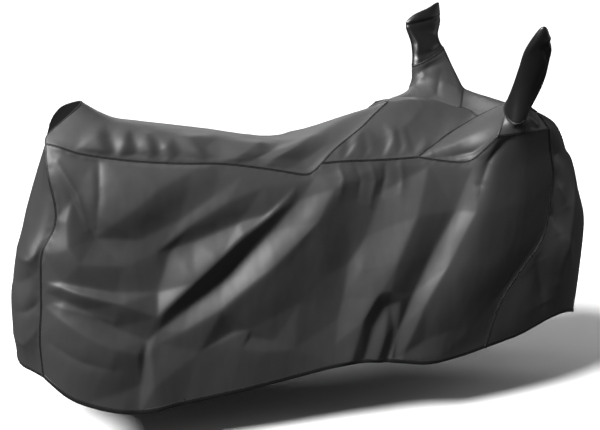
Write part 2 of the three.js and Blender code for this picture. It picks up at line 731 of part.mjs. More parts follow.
// The long top panel over the tail hump and the seat.
function seatPanel() {
  const [right, left] = [seams[RIGHT].seatBelt, seams[LEFT].seatBelt];
  const crownStart = SEAT_CROWN[0].x;
  const crownEnd = SEAT_CROWN[SEAT_CROWN.length - 1].x;
  const grid = makeGrid(ACROSS_STEPS, right.length - 1, (i, j, across, forward) => {
    const x = lerp(crownStart, crownEnd, forward);
    const middle = new THREE.Vector3(x, 0, between(SEAT_CROWN, 'x', x, 'height'));
    return overTheMiddle(right[j], left[j], middle, across, between(SEAT_CROWN, 'x', x, 'round'));
  });
  fitEdges(grid, { top: gable, bottom: seatFront, start: right, end: left }, LET_GO.large);
  layFolds(grid, SEAT_FOLDS, false, RIGHT);
  layFolds(grid, SEAT_FOLDS, false, LEFT);
  return sheetGeometry(grid);
}

// The four-sided panel in front of the slanted seam.
function tankPanel() {
  const right = join(seams[RIGHT].tankBelt, seams[RIGHT].shoulderSeam);
  const left = join(seams[LEFT].tankBelt, seams[LEFT].shoulderSeam);
  const crownStart = TANK_CROWN[0].x;
  const crownEnd = TANK_CROWN[TANK_CROWN.length - 1].x;
  const grid = makeGrid(ACROSS_STEPS, right.length - 1, (i, j, across, forward) => {
    const x = lerp(crownStart, crownEnd, forward);
    const middle = new THREE.Vector3(x, 0, between(TANK_CROWN, 'x', x, 'height'));
    return overTheMiddle(right[j], left[j], middle, across, between(TANK_CROWN, 'x', x, 'round'));
  });
  fitEdges(grid, { top: seatFront, bottom: tankFront, start: right, end: left }, LET_GO.tank);
  return sheetGeometry(grid);
}

// The panel from the valley between the pockets, over the nose, to the hem.
const NOSE_ROUND = 2.3;
function frontPanel() {
  const edgeOf = (side) => join(seams[side].shoulderRidge, seams[side].ridgeToFront, seams[side].front);
  const [right, left] = [edgeOf(RIGHT), edgeOf(LEFT)];
  const upperSteps = SHOULDER_RIDGE.steps + GUSSET_STEPS - CORNER_STEP;
  const middleLine = join(curvePoints(NOSE_LINE, upperSteps), curvePoints(NOSE_FALL, SKIRT_STEPS));
  const grid = makeGrid(ACROSS_STEPS, right.length - 1, (i, j, across) =>
    overTheMiddle(right[j], left[j], middleLine[j], across, NOSE_ROUND),
  );
  fitEdges(grid, { top: tankFront, bottom: noseHem, start: right, end: left }, LET_GO.large);
  layFolds(grid, NOSE_FOLDS, true, RIGHT);
  layFolds(grid, NOSE_FOLDS, true, LEFT);
  return sheetGeometry(grid, { freeHem: true });
}

// The panel over the tail, from the gable to the hem.
const TAIL_RUSH = 0.7; // takes the first rows down from the gable's peak as fast as the seam needs
const TAIL_ROUND = [
  { down: 0, round: 1 },
  { down: 0.15, round: 1.2 },
  { down: 0.45, round: 2.2 },
  { down: 1, round: 2.2 },
];
function rearPanel() {
  const [right, left] = [seams[RIGHT].rear, seams[LEFT].rear];
  const middleLine = curvePoints(TAIL_LINE, SKIRT_STEPS, RIGHT, TAIL_RUSH);
  const grid = makeGrid(ACROSS_STEPS, SKIRT_STEPS, (i, j, across, down) => {
    const round = between(TAIL_ROUND, 'down', down, 'round');
    return overTheMiddle(right[j], left[j], middleLine[j], across, round);
  });
  fitEdges(grid, { top: gable, bottom: tailHem, start: right, end: left }, LET_GO.large);
  layFolds(grid, TAIL_FOLDS, true, RIGHT);
  layFolds(grid, TAIL_FOLDS, true, LEFT);
  return sheetGeometry(grid, { freeHem: true });
}

// A shoulder panel starts as a point at the belt and spreads to the pocket's foot.
const SHOULDER_SWELL = 14;
function shoulderPanel(side) {
  const { shoulderFoot, shoulderSeam, shoulderRidge, gussetRear, footInner, pocketToRidge } = seams[side];
  const top = join(shoulderSeam, shoulderRidge);
  const end = [...join(gussetRear, footInner, pocketToRidge)].reverse();
  const [columns, rows] = [top.length - 1, end.length - 1];
  const start = end.map(() => top[0].clone());
  const grid = makeGrid(columns, rows, (i, j, along) => start[j].clone().lerp(end[j], along));
  fitEdges(grid, { top, bottom: shoulderFoot, start, end }, LET_GO.shoulder);
  drawTight(grid);
  const normals = gridNormals(grid);
  grid.forEach((column, i) =>
    column.forEach((point, j) => {
      const inside = Math.sin((Math.PI * i) / columns) * Math.sin((Math.PI * j) / rows);
      point.addScaledVector(normals[i][j], SHOULDER_SWELL * inside);
    }),
  );
  return sheetGeometry(grid, { pinched: true });
}

// The small piece between the top of the skirt and the outer half of the pocket's foot.
const GUSSET_SWELL = 6;
function gusset(side) {
  const { gussetFoot, footOuter, gussetRear, pocketToRidge, ridgeToFront } = seams[side];
  const grid = makeGrid(POCKET_ARC_STEPS, GUSSET_STEPS, (i, j, along, down) => {
    const point = footOuter[i].clone().lerp(gussetFoot[i], down);
    const lift = GUSSET_SWELL * Math.sin(Math.PI * along) * Math.sin(Math.PI * down);
    return point.addScaledVector(towardsCore(point), -lift);
  });
  const start = [...gussetRear].reverse();
  const end = join(pocketToRidge, ridgeToFront);
  fitEdges(grid, { top: footOuter, bottom: gussetFoot, start, end }, LET_GO.gusset);
  drawTight(grid);
  return sheetGeometry(grid);
}

// A pocket: a flat hollow sleeve, open at its foot and closed at its tip.
const POCKET_RINGS = 8;
const TIP_THICKENS = 0.6; // how far the inner tip lies from the outer one towards the last section
function earPocket(side) {
  const { sections, tip } = POCKETS[side];
  const around = 2 * POCKET_ARC_STEPS;
  const curves = ['middle', 'wide', 'deep'].map(
    (name) => new THREE.CatmullRomCurve3(sections.map((section) => new THREE.Vector3(...section[name]))),
  );
  const sectionAt = (share) => {
    const [middle, wide, deep] = curves.map((curve) => curve.getPoint(share).toArray());
    return { middle, wide, deep };
  };
  const ring = (level, trim) => {
    const section = sectionAt(level / POCKET_RINGS);
    return Array.from({ length: around }, (_, k) => onSection(section, (2 * Math.PI * k) / around, trim));
  };
  const levels = Array.from({ length: POCKET_RINGS + 1 }, (_, level) => level);
  const outerRings = levels.map((level) => ring(level, 0));
  const innerRings = levels.map((level) => ring(level, CLOTH));
  outerRings[0].forEach((point, k) => {
    const step = outerRings[1][k].clone().sub(point).setLength(SEAM_GAP / 2);
    point.add(step);
    innerRings[0][k].add(step);
  });
  const outerTip = new THREE.Vector3(...tip);
  const lastMiddle = new THREE.Vector3(...sections[sections.length - 1].middle);
  const innerTip = outerTip.clone().lerp(lastMiddle, TIP_THICKENS);
  const points = [...outerRings.flat(), ...innerRings.flat(), outerTip, innerTip];
  const layer = around * (POCKET_RINGS + 1);
  const triangles = [];
  for (let k = 0; k < around; k++) {
    const next = (k + 1) % around;
    for (let level = 0; level < POCKET_RINGS; level++) {
      const [a, b] = [level * around + k, level * around + next];
      const [c, d] = [b + around, a + around];
      triangles.push(a, b, c, a, c, d);
      triangles.push(layer + a, layer + c, layer + b, layer + a, layer + d, layer + c);
    }
    const last = POCKET_RINGS * around;
    triangles.push(last + k, last + next, 2 * layer);
    triangles.push(layer + last + next, layer + last + k, 2 * layer + 1);
    triangles.push(next, k, layer + k, next, layer + k, layer + next);
  }
  return closedGeometry(points, triangles);
}

const cover = new THREE.Group();
cover.name = 'cover';
const holdHeight = between(SEAT_CROWN, 'x', HOLD_X, 'height') - CLOTH;
cover.position.set(-HOLD_X, 0, -holdHeight);

function addPiece(name, geometry, finish) {
  const mesh = new THREE.Mesh(geometry, new THREE.MeshStandardMaterial(finish));
  mesh.name = name;
  cover.add(mesh);
}

addPiece('side_panel_right', sidePanel(RIGHT, RIGHT_FOLDS), COATED_CLOTH);
addPiece('side_panel_left', sidePanel(LEFT, LEFT_FOLDS), COATED_CLOTH);
addPiece('rear_panel', rearPanel(), COATED_CLOTH);
addPiece('front_panel', frontPanel(), COATED_CLOTH);
addPiece('seat_panel', seatPanel(), COATED_CLOTH_TOP);
addPiece('tank_panel', tankPanel(), COATED_CLOTH_TOP);
for (const [side, word] of [[RIGHT, 'right'], [LEFT, 'left']]) {
  addPiece(`shoulder_panel_${word}`, shoulderPanel(side), COATED_CLOTH_TOP);
  addPiece(`gusset_${word}`, gusset(side), COATED_CLOTH);
  addPiece(`ear_pocket_${word}`, earPocket(side), COATED_CLOTH_DARK);
}

export default cover;
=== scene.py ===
# %% [markdown]
# # A fitted cover, draped and hollow
# The cover is sewn from twelve pieces of coated cloth. The CAD model gives each piece its true place,
# outline and main folds in a coarse mesh. This lesson gives each piece a fine, thin sheet of cloth
# that lies where its solid lies, then the seams, the threads, the finish, the light and the camera.

# %% Load the frame
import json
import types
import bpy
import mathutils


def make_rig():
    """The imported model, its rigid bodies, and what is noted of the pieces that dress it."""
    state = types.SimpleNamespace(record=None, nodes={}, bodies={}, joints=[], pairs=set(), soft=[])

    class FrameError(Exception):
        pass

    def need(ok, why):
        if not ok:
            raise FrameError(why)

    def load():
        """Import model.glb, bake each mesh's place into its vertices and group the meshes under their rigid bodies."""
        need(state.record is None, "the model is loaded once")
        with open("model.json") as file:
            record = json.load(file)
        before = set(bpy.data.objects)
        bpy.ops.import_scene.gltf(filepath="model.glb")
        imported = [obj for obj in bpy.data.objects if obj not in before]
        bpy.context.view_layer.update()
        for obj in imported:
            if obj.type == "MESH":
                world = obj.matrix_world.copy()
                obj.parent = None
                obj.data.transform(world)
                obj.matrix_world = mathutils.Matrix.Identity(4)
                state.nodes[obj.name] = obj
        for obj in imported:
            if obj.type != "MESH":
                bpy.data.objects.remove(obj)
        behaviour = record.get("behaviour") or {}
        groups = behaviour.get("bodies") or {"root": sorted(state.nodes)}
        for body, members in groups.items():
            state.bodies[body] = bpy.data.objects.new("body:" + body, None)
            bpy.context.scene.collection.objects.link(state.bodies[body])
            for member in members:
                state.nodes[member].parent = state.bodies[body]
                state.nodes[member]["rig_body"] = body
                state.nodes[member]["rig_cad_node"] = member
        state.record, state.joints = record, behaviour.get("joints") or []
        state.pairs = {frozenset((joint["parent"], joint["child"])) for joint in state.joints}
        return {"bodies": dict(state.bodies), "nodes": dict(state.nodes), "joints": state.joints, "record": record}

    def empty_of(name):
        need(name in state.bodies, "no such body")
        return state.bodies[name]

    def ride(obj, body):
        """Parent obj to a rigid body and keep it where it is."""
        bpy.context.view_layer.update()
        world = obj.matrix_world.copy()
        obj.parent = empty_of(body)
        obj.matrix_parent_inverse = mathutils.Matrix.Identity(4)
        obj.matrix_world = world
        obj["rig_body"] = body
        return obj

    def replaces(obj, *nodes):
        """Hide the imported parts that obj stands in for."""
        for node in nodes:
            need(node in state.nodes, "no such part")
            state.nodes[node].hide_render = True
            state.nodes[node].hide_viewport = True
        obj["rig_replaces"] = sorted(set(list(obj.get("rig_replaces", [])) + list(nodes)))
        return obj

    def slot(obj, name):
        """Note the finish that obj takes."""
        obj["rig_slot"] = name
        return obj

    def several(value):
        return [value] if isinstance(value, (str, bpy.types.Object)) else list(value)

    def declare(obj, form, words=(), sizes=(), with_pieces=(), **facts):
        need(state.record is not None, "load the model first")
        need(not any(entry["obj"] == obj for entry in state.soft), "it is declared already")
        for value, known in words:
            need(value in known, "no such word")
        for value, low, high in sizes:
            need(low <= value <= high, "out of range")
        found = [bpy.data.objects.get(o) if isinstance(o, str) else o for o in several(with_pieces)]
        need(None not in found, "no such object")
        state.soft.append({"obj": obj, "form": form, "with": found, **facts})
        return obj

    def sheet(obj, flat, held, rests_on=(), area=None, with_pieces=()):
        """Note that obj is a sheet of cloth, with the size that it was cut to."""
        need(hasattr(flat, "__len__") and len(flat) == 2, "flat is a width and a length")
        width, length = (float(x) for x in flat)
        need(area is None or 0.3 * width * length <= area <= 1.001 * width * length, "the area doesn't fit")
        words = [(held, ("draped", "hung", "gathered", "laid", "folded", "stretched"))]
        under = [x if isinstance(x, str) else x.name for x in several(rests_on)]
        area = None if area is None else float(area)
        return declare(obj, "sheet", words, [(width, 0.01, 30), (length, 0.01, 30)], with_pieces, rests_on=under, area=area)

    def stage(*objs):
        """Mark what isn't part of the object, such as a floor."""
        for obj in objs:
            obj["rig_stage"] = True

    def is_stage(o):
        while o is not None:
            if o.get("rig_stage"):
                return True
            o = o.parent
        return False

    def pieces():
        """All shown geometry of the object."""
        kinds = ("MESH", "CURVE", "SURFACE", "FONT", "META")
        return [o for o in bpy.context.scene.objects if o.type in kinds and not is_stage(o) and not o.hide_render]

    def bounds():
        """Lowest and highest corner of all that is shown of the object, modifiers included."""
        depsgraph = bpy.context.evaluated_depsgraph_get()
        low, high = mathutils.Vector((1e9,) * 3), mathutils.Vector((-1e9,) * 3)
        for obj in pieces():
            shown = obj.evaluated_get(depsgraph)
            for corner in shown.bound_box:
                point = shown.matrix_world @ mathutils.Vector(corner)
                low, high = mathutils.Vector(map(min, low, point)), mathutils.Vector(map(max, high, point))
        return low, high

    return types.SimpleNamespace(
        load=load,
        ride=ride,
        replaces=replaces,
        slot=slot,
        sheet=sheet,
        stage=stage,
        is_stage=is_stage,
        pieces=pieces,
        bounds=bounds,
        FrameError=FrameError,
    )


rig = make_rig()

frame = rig.load()

import json
import math

import bpy
import numpy as np
from mathutils import Vector, geometry, kdtree, noise

cad_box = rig.bounds()
print("pieces in the frame:", len(frame["nodes"]))

# %% [markdown]
# The photograph looks at the right side from behind the middle, at about the height of the ear pockets.
# A camera can be aimed by rotation angles, but a point to look at is easier to read and to correct,
# so the rotation comes from the direction to that point.

# %% Camera
CAMERA_AT = Vector((-0.5053, -2.7252, 0.3123))
LOOKS_AT = Vector((0.08, -0.19, -0.2407))
bpy.ops.object.select_all(action="DESELECT")
bpy.ops.object.camera_add(location=CAMERA_AT)
camera = bpy.context.object
camera.name = "photo_camera"
camera.rotation_mode = "QUATERNION"
camera.rotation_quaternion = (LOOKS_AT - CAMERA_AT).to_track_quat("-Z", "Y")
camera.data.lens = 48
camera.data.sensor_width = 36
bpy.context.scene.camera = camera
print("camera is", round((LOOKS_AT - CAMERA_AT).length, 2), "m from the point that it looks at")

# %% [markdown]
# Heights in this lesson are counted in millimetres from the floor, and lengths forward from a line
# 480 mm behind the frame's zero, near the skirt's rear. The frame has its zero under the seat, so two
# small functions go between the two.

# %% Measures
FLOOR_Z = -0.9407
REAR_X = -0.48


def to_floor(points):
    """Frame metres to millimetres along, across and above the floor."""
    return (np.asarray(points, float) - (REAR_X, 0, FLOOR_Z)) * 1000


def from_floor(points):
    return np.asarray(points, float) / 1000 + (REAR_X, 0, FLOOR_Z)


print("the frame's zero is", to_floor([[0, 0, 0]]).round(1).tolist(), "mm along, across and up")

# %% [markdown]
# Each solid is a sheet 2 mm thick: an outer layer, an inner layer and the walls at its edges. Cloth
# this soft is far thinner, so only the outer layer is kept and thickened again later. An outer
# corner has a partner 2 mm away that lies closer to a line inside the hollow, and that tells the two
# layers apart. Subdivision bends quads smoothly and triangles badly, so the triangles are then paired
# into quads. A panel is a grid with four corners, and is walked row by row from one of them.

# %% Outer layer of a solid
CLOTH_IN_CAD = 0.002
PARTNER_FROM, PARTNER_TO = 0.9, 1.04  # how far away a partner is, in thicknesses of the solid's sheet
SAME_POINT = 0.00002
SIDES_PER_QUAD = 6  # a quad is two triangles with three sides each
INSIDE_LINE = [(-0.62, 0, -0.35), (0.85, 0, -0.35)]


def only(piece):
    bpy.ops.object.select_all(action="DESELECT")
    piece.select_set(True)
    bpy.context.view_layer.objects.active = piece


def nearest_on_line(points, line):
    best, nearest = np.full(len(points), np.inf), np.zeros((len(points), 3))
    for start, end in zip(np.array(line[:-1], float), np.array(line[1:], float)):
        run = end - start
        share = np.clip((points - start) @ run / (run @ run), 0, 1)
        found = start + share[:, None] * run
        far = np.linalg.norm(points - found, axis=1)
        nearest[far < best] = found[far < best]
        best = np.minimum(best, far)
    return nearest, best


def numbers(collection, name, width=3):
    values = np.empty(len(collection) * width)
    collection.foreach_get(name, values)
    return values.reshape(-1, width) if width > 1 else values


def tree_of(points):
    tree = kdtree.KDTree(len(points))
    for index, point in enumerate(points):
        tree.insert(point, index)
    tree.balance()
    return tree


def merged_copy(node, name):
    piece = bpy.data.objects.new(name, frame["nodes"][node].data.copy())
    piece.data.name = name
    piece.data.materials.clear()
    bpy.context.scene.collection.objects.link(piece)
    only(piece)
    bpy.ops.object.mode_set(mode="EDIT")
    bpy.ops.mesh.select_all(action="SELECT")
    bpy.ops.mesh.remove_doubles(threshold=SAME_POINT)
    bpy.ops.mesh.select_all(action="DESELECT")
    bpy.ops.object.mode_set(mode="OBJECT")
    return piece


def walk_rows(third, after, before, start, columns):
    """Quads found row by row from a corner. third gives the triangle's tip on the left of an edge."""
    line, quads = [start], []
    while len(line) <= columns:
        line.append(after[line[-1]])
    while line[0] in before:
        row = [before[line[0]]]
        for here, ahead in zip(line, line[1:]):
            up = row[-1]
            tip = third.get((here, ahead))
            if tip == up:
                tip = third.get((up, ahead))
            elif third.get((here, tip)) != up:
                return quads
            if tip is None:
                return quads
            quads.append((here, ahead, tip, up))
            row.append(tip)
        line = row
        if SIDES_PER_QUAD * len(quads) == len(third):
            break
    return quads


def grid_quads(mesh):
    """All the quads of a sheet whose triangles came from a grid with four corners, or None."""
    third = {}
    for face in mesh.polygons:
        a, b, c = face.vertices
        third.update({(a, b): c, (b, c): a, (c, a): b})
    after = {a: b for a, b in third if (b, a) not in third}
    before = {b: a for a, b in after.items()}
    half = len(after) / 2
    root = math.sqrt(max(half ** 2 - 4 * (len(mesh.vertices) - half - 1), 0))
    for start in after:
        for columns in (round((half + root) / 2), round((half - root) / 2)):
            quads = walk_rows(third, after, before, start, columns)
            if SIDES_PER_QUAD * len(quads) == len(third):
                return quads
    return None


def keep_faces(piece, keep):
    """Deletes the other faces, and pairs what is left into quads."""
    bpy.context.tool_settings.mesh_select_mode = (False, False, True)
    for face, kept in zip(piece.data.polygons, keep):
        face.select = not kept
    only(piece)
    bpy.ops.object.mode_set(mode="EDIT")
    bpy.ops.mesh.delete(type="FACE")
    bpy.ops.mesh.select_all(action="SELECT")
    bpy.ops.object.mode_set(mode="OBJECT")
    quads = grid_quads(piece.data)
    if quads:
        co = numbers(piece.data.vertices, "co").tolist()
        piece.data.clear_geometry()
        piece.data.from_pydata(co, [], quads)
    else:
        bpy.ops.object.mode_set(mode="EDIT")
        bpy.ops.mesh.tris_convert_to_quads(face_threshold=math.pi, shape_threshold=math.pi)
        bpy.ops.object.mode_set(mode="OBJECT")
    sizes = [len(face.vertices) for face in piece.data.polygons]
    print(piece.name, "quads", sizes.count(4), "triangles", sizes.count(3))


def panel_layer(node, name):
    piece = merged_copy(node, name)
    co = numbers(piece.data.vertices, "co")
    depth = nearest_on_line(co, INSIDE_LINES[node])[1]
    tree = tree_of(co)
    outer = [
        any(depth[n] < depth[index] for _, n, far in tree.find_range(point, PARTNER_TO * CLOTH_IN_CAD)
            if far > PARTNER_FROM * CLOTH_IN_CAD)
        for index, point in enumerate(co)
    ]
    keep_faces(piece, [all(outer[v] for v in face.vertices) for face in piece.data.polygons])
    return piece


# %% [markdown]
# An ear pocket is a sleeve around its own middle line. Its outer faces look away from that line, and
# its inner faces look towards it.

# %% Layers of all the pieces
INSIDE_LINES = {node: INSIDE_LINE for node in frame["nodes"]} | {
    "ear_pocket_right": [(0.784, -0.300, 0.090), (0.818, -0.342, 0.237), (0.819, -0.391, 0.361)],
    "ear_pocket_left": [(0.710, 0.300, 0.262), (0.700, 0.338, 0.364), (0.748, 0.350, 0.467)],
    "shoulder_panel_right": [(0.55, -0.08, -0.20), (0.76, -0.29, 0.00)],
    "shoulder_panel_left": [(0.55, 0.08, -0.10), (0.72, 0.31, 0.06)],
    "gusset_right": [(0.70, -0.20, -0.06), (0.86, -0.20, -0.02)],
    "gusset_left": [(0.70, 0.20, 0.00), (0.86, 0.20, 0.00)],
}


LOOKS_AWAY = 0.2  # an outer face looks away from the middle line by at least this cosine


def pocket_layer(node, name):
    piece = merged_copy(node, name)
    centres, normals = (numbers(piece.data.polygons, key) for key in ("center", "normal"))
    out = centres - nearest_on_line(centres, INSIDE_LINES[node])[0]
    out /= np.linalg.norm(out, axis=1)[:, None]
    keep_faces(piece, (out * normals).sum(1) > LOOKS_AWAY)
    return piece


cloth = {}
for node in frame["nodes"]:
    make_layer = pocket_layer if node.startswith("ear") else panel_layer
    cloth[node] = make_layer(node, node + "_cloth")

# %% [markdown]
# Where three pieces meet, their corners have to stay together. Subdivision rounds an edge off, so
# each such corner gets a crease that holds it. The corners are found, not listed: they are the edge
# points that lie within 2 mm of the edges of two other pieces.

# %% Hold the corners where pieces meet
MEET = 0.002


def edge_points(mesh):
    uses = np.zeros(len(mesh.edges), int)
    for face in mesh.polygons:
        for loop in face.loop_indices:
            uses[mesh.loops[loop].edge_index] += 1
    return np.unique([edge.vertices[:] for edge in mesh.edges if uses[edge.index] == 1])


def find_rims():
    points = {
        node: numbers(piece.data.vertices, "co")[edge_points(piece.data)] for node, piece in cloth.items()
    }
    return points, {node: tree_of(rim) for node, rim in points.items()}


rim_points, rim_trees = find_rims()
held = 0
for node, piece in cloth.items():
    crease = piece.data.attributes.new("crease_vert", "FLOAT", "POINT")
    for v in edge_points(piece.data):
        point = piece.data.vertices[v].co
        met = [other for other, tree in rim_trees.items() if other != node and tree.find(point)[2] < MEET]
        if len(met) > 1:
            crease.data[v].value = 1
            held += 1
print("corners held:", held)

# %% [markdown]
# A weave needs to know which way the threads run, so each piece is unwrapped flat like a pattern
# piece, and the map is scaled until one unit is one metre of cloth. A pocket has no edge to cut along,
# so its map is rolled off around its middle line instead.

# %% Flat pattern of each piece
TURN_STEP = 3  # degrees between the turns that are tried for the smallest box


def map_area(mesh, flat):
    total = 0
    for face in mesh.polygons:
        corners = flat[list(face.loop_indices)]
        after = np.roll(corners, -1, axis=0)
        total += abs((corners[:, 0] * after[:, 1] - corners[:, 1] * after[:, 0]).sum()) / 2
    return total


def roll_off(mesh, line):
    """Around and along a pocket's middle line, in metres."""
    flat = np.zeros((len(mesh.loops), 2))
    co = numbers(mesh.vertices, "co")
    out = co - nearest_on_line(co, line)[0]
    angle = np.arctan2(out[:, 1], out[:, 0])
    radius = np.linalg.norm(out[:, :2], axis=1).mean()
    for face in mesh.polygons:
        first = angle[face.vertices[0]]
        for loop in face.loop_indices:
            v = mesh.loops[loop].vertex_index
            turn = (angle[v] - first + math.pi) % math.tau - math.pi + first
            flat[loop] = radius * turn, co[v, 2]
    return flat


def lay_flat(piece, line=None):
    """Unwraps a piece and gives the sides of the smallest box around its pattern, and its area."""
    only(piece)
    bpy.ops.object.mode_set(mode="EDIT")
    bpy.ops.mesh.select_all(action="SELECT")
    bpy.ops.uv.unwrap(method="CONFORMAL", margin=0)
    bpy.ops.object.mode_set(mode="OBJECT")
    mesh = piece.data
    flat = roll_off(mesh, line) if line else numbers(mesh.uv_layers.active.data, "uv", 2)
    real = sum(face.area for face in mesh.polygons)
    flat *= math.sqrt(real / map_area(mesh, flat))
    mesh.uv_layers.active.data.foreach_set("uv", flat.ravel())
    boxes = []
    for turn in np.radians(range(0, 90, TURN_STEP)):
        turned = flat @ np.array([[math.cos(turn), -math.sin(turn)], [math.sin(turn), math.cos(turn)]])
        boxes.append(sorted(np.ptp(turned, axis=0)))
    return min(boxes, key=math.prod), real


patterns = {
    node: lay_flat(piece, INSIDE_LINES[node] if node.startswith("ear") else None)
    for node, piece in cloth.items()
}
print("cloth in all:", round(sum(area for _, area in patterns.values()), 2), "square metres")

# %% [markdown]
# The folds of the skirt, the seat, the nose and the tail are tables: a path in length and height, how
# far the crest stands out (a trough is below zero), and the reach above and below the path. They are
# the solid's folds. The coarse mesh can only hold a lumpy version of them, so each is taken out of it
# first. On the left side, the nose and the tail they are laid again once the mesh is fine. The finer
# creases of the second table are only in this lesson.
#
# The right side is the cover's most striking part. Its cloth is pulled tight between a few knots, so it
# stands in flat facets with a crest or a valley between them. On it and on the seat, facets take the
# place of the folds that were taken out. A table of points gives them: each has a length, a height and
# a lift in mm, and each line of them is one crest or one valley. The seat and the tank panel have small
# facets where their cloth gathers along the belt.

# %% Fold tables
RIGHT_FOLDS = [
    ([(-235, 930), (-178, 804), (-115, 660)], -26, 40, 40),
    ([(-175, 925), (-120, 800), (-75, 700)], 14, 45, 45),
    ([(-95, 655), (70, 735), (230, 818)], -26, 45, 60),
    ([(-110, 640), (-34, 572), (70, 495)], -20, 40, 45),
    ([(85, 500), (112, 608), (150, 655), (250, 698), (345, 722), (430, 722)], 24, 45, 34),
    ([(140, 600), (235, 648), (345, 682), (440, 690)], -18, 28, 40),
    ([(570, 838), (465, 752), (363, 676), (226, 526), (73, 382)], 26, 45, 28),
    ([(640, 805), (440, 668), (285, 538), (97, 366)], -30, 32, 45),
    ([(775, 862), (643, 740), (476, 600), (348, 488), (145, 352)], 30, 55, 70),
    ([(-262, 560), (-162, 530), (-59, 510), (70, 486)], 18, 35, 35),
    ([(-262, 505), (-62, 432), (50, 355)], -30, 38, 45),
    ([(-240, 420), (-110, 350), (0, 290)], 20, 50, 60),
    ([(28, 330), (34, 100)], 18, 32, 32),
    ([(74, 340), (92, 100)], -20, 36, 36),
    ([(880, 870), (850, 800), (790, 680), (730, 560)], 22, 34, 38),
    ([(925, 860), (880, 740), (820, 610)], -18, 32, 32),
    ([(965, 860), (925, 700), (872, 560)], 20, 34, 36),
    ([(1008, 850), (985, 700), (920, 540), (880, 420)], -22, 34, 34),
    ([(1165, 930), (1094, 816), (1050, 693), (992, 593), (942, 485), (908, 372), (850, 190)],
     26, 34, 48),
    ([(702, 575), (683, 440), (668, 350), (700, 180)], 22, 40, 40),
    ([(738, 190), (752, 330), (800, 430)], -20, 34, 34),
    ([(800, 180), (822, 380)], 14, 30, 30),
    ([(1290, 900), (1230, 640), (1110, 330)], -16, 90, 90),
]
LEFT_FOLDS = [
    ([(-200, 920), (-120, 760), (-40, 620)], -22, 45, 45),
    ([(-40, 640), (130, 740), (300, 840)], 20, 50, 50),
    ([(560, 830), (400, 660), (220, 500), (60, 330)], 26, 45, 35),
    ([(640, 820), (480, 650), (310, 480), (150, 300)], -26, 38, 48),
    ([(760, 860), (640, 690), (520, 480), (430, 260)], 26, 55, 60),
    ([(-260, 540), (-100, 500), (60, 420)], -24, 42, 45),
    ([(-30, 380), (-10, 120)], 18, 38, 38),
    ([(900, 870), (840, 700), (790, 480), (760, 200)], 22, 38, 42),
    ([(985, 880), (950, 680), (900, 440), (880, 200)], -22, 38, 40),
    ([(1110, 920), (1060, 700), (1010, 450), (980, 200)], 24, 40, 50),
    ([(1270, 920), (1220, 640), (1120, 330)], -16, 80, 80),
]
SEAT_FOLDS = [
    ([(-112, 1040), (-118, 900)], 13, 28, 28),
    ([(-78, 1000), (-80, 900)], -9, 22, 22),
    ([(-45, 985), (-48, 890)], 10, 26, 26),
    ([(30, 1000), (70, 950), (20, 890)], -9, 34, 34),
    ([(190, 960), (210, 885)], 8, 36, 36),
]
NOSE_FOLDS = [
    ([(1390, 520), (1420, 420), (1440, 340)], -16, 40, 40),
    ([(1560, 860), (1530, 640), (1500, 420)], 14, 45, 45),
    ([(1460, 880), (1560, 885)], -12, 30, 30),
]
TAIL_FOLDS = [
    ([(-290, 560), (-380, 500)], -14, 40, 40),
    ([(-300, 700), (-330, 420), (-340, 240)], 10, 40, 40),
]
SOLID_FOLDS = {
    "side_panel_right": RIGHT_FOLDS, "side_panel_left": LEFT_FOLDS, "seat_panel": SEAT_FOLDS,
    "front_panel": NOSE_FOLDS, "rear_panel": TAIL_FOLDS,
}
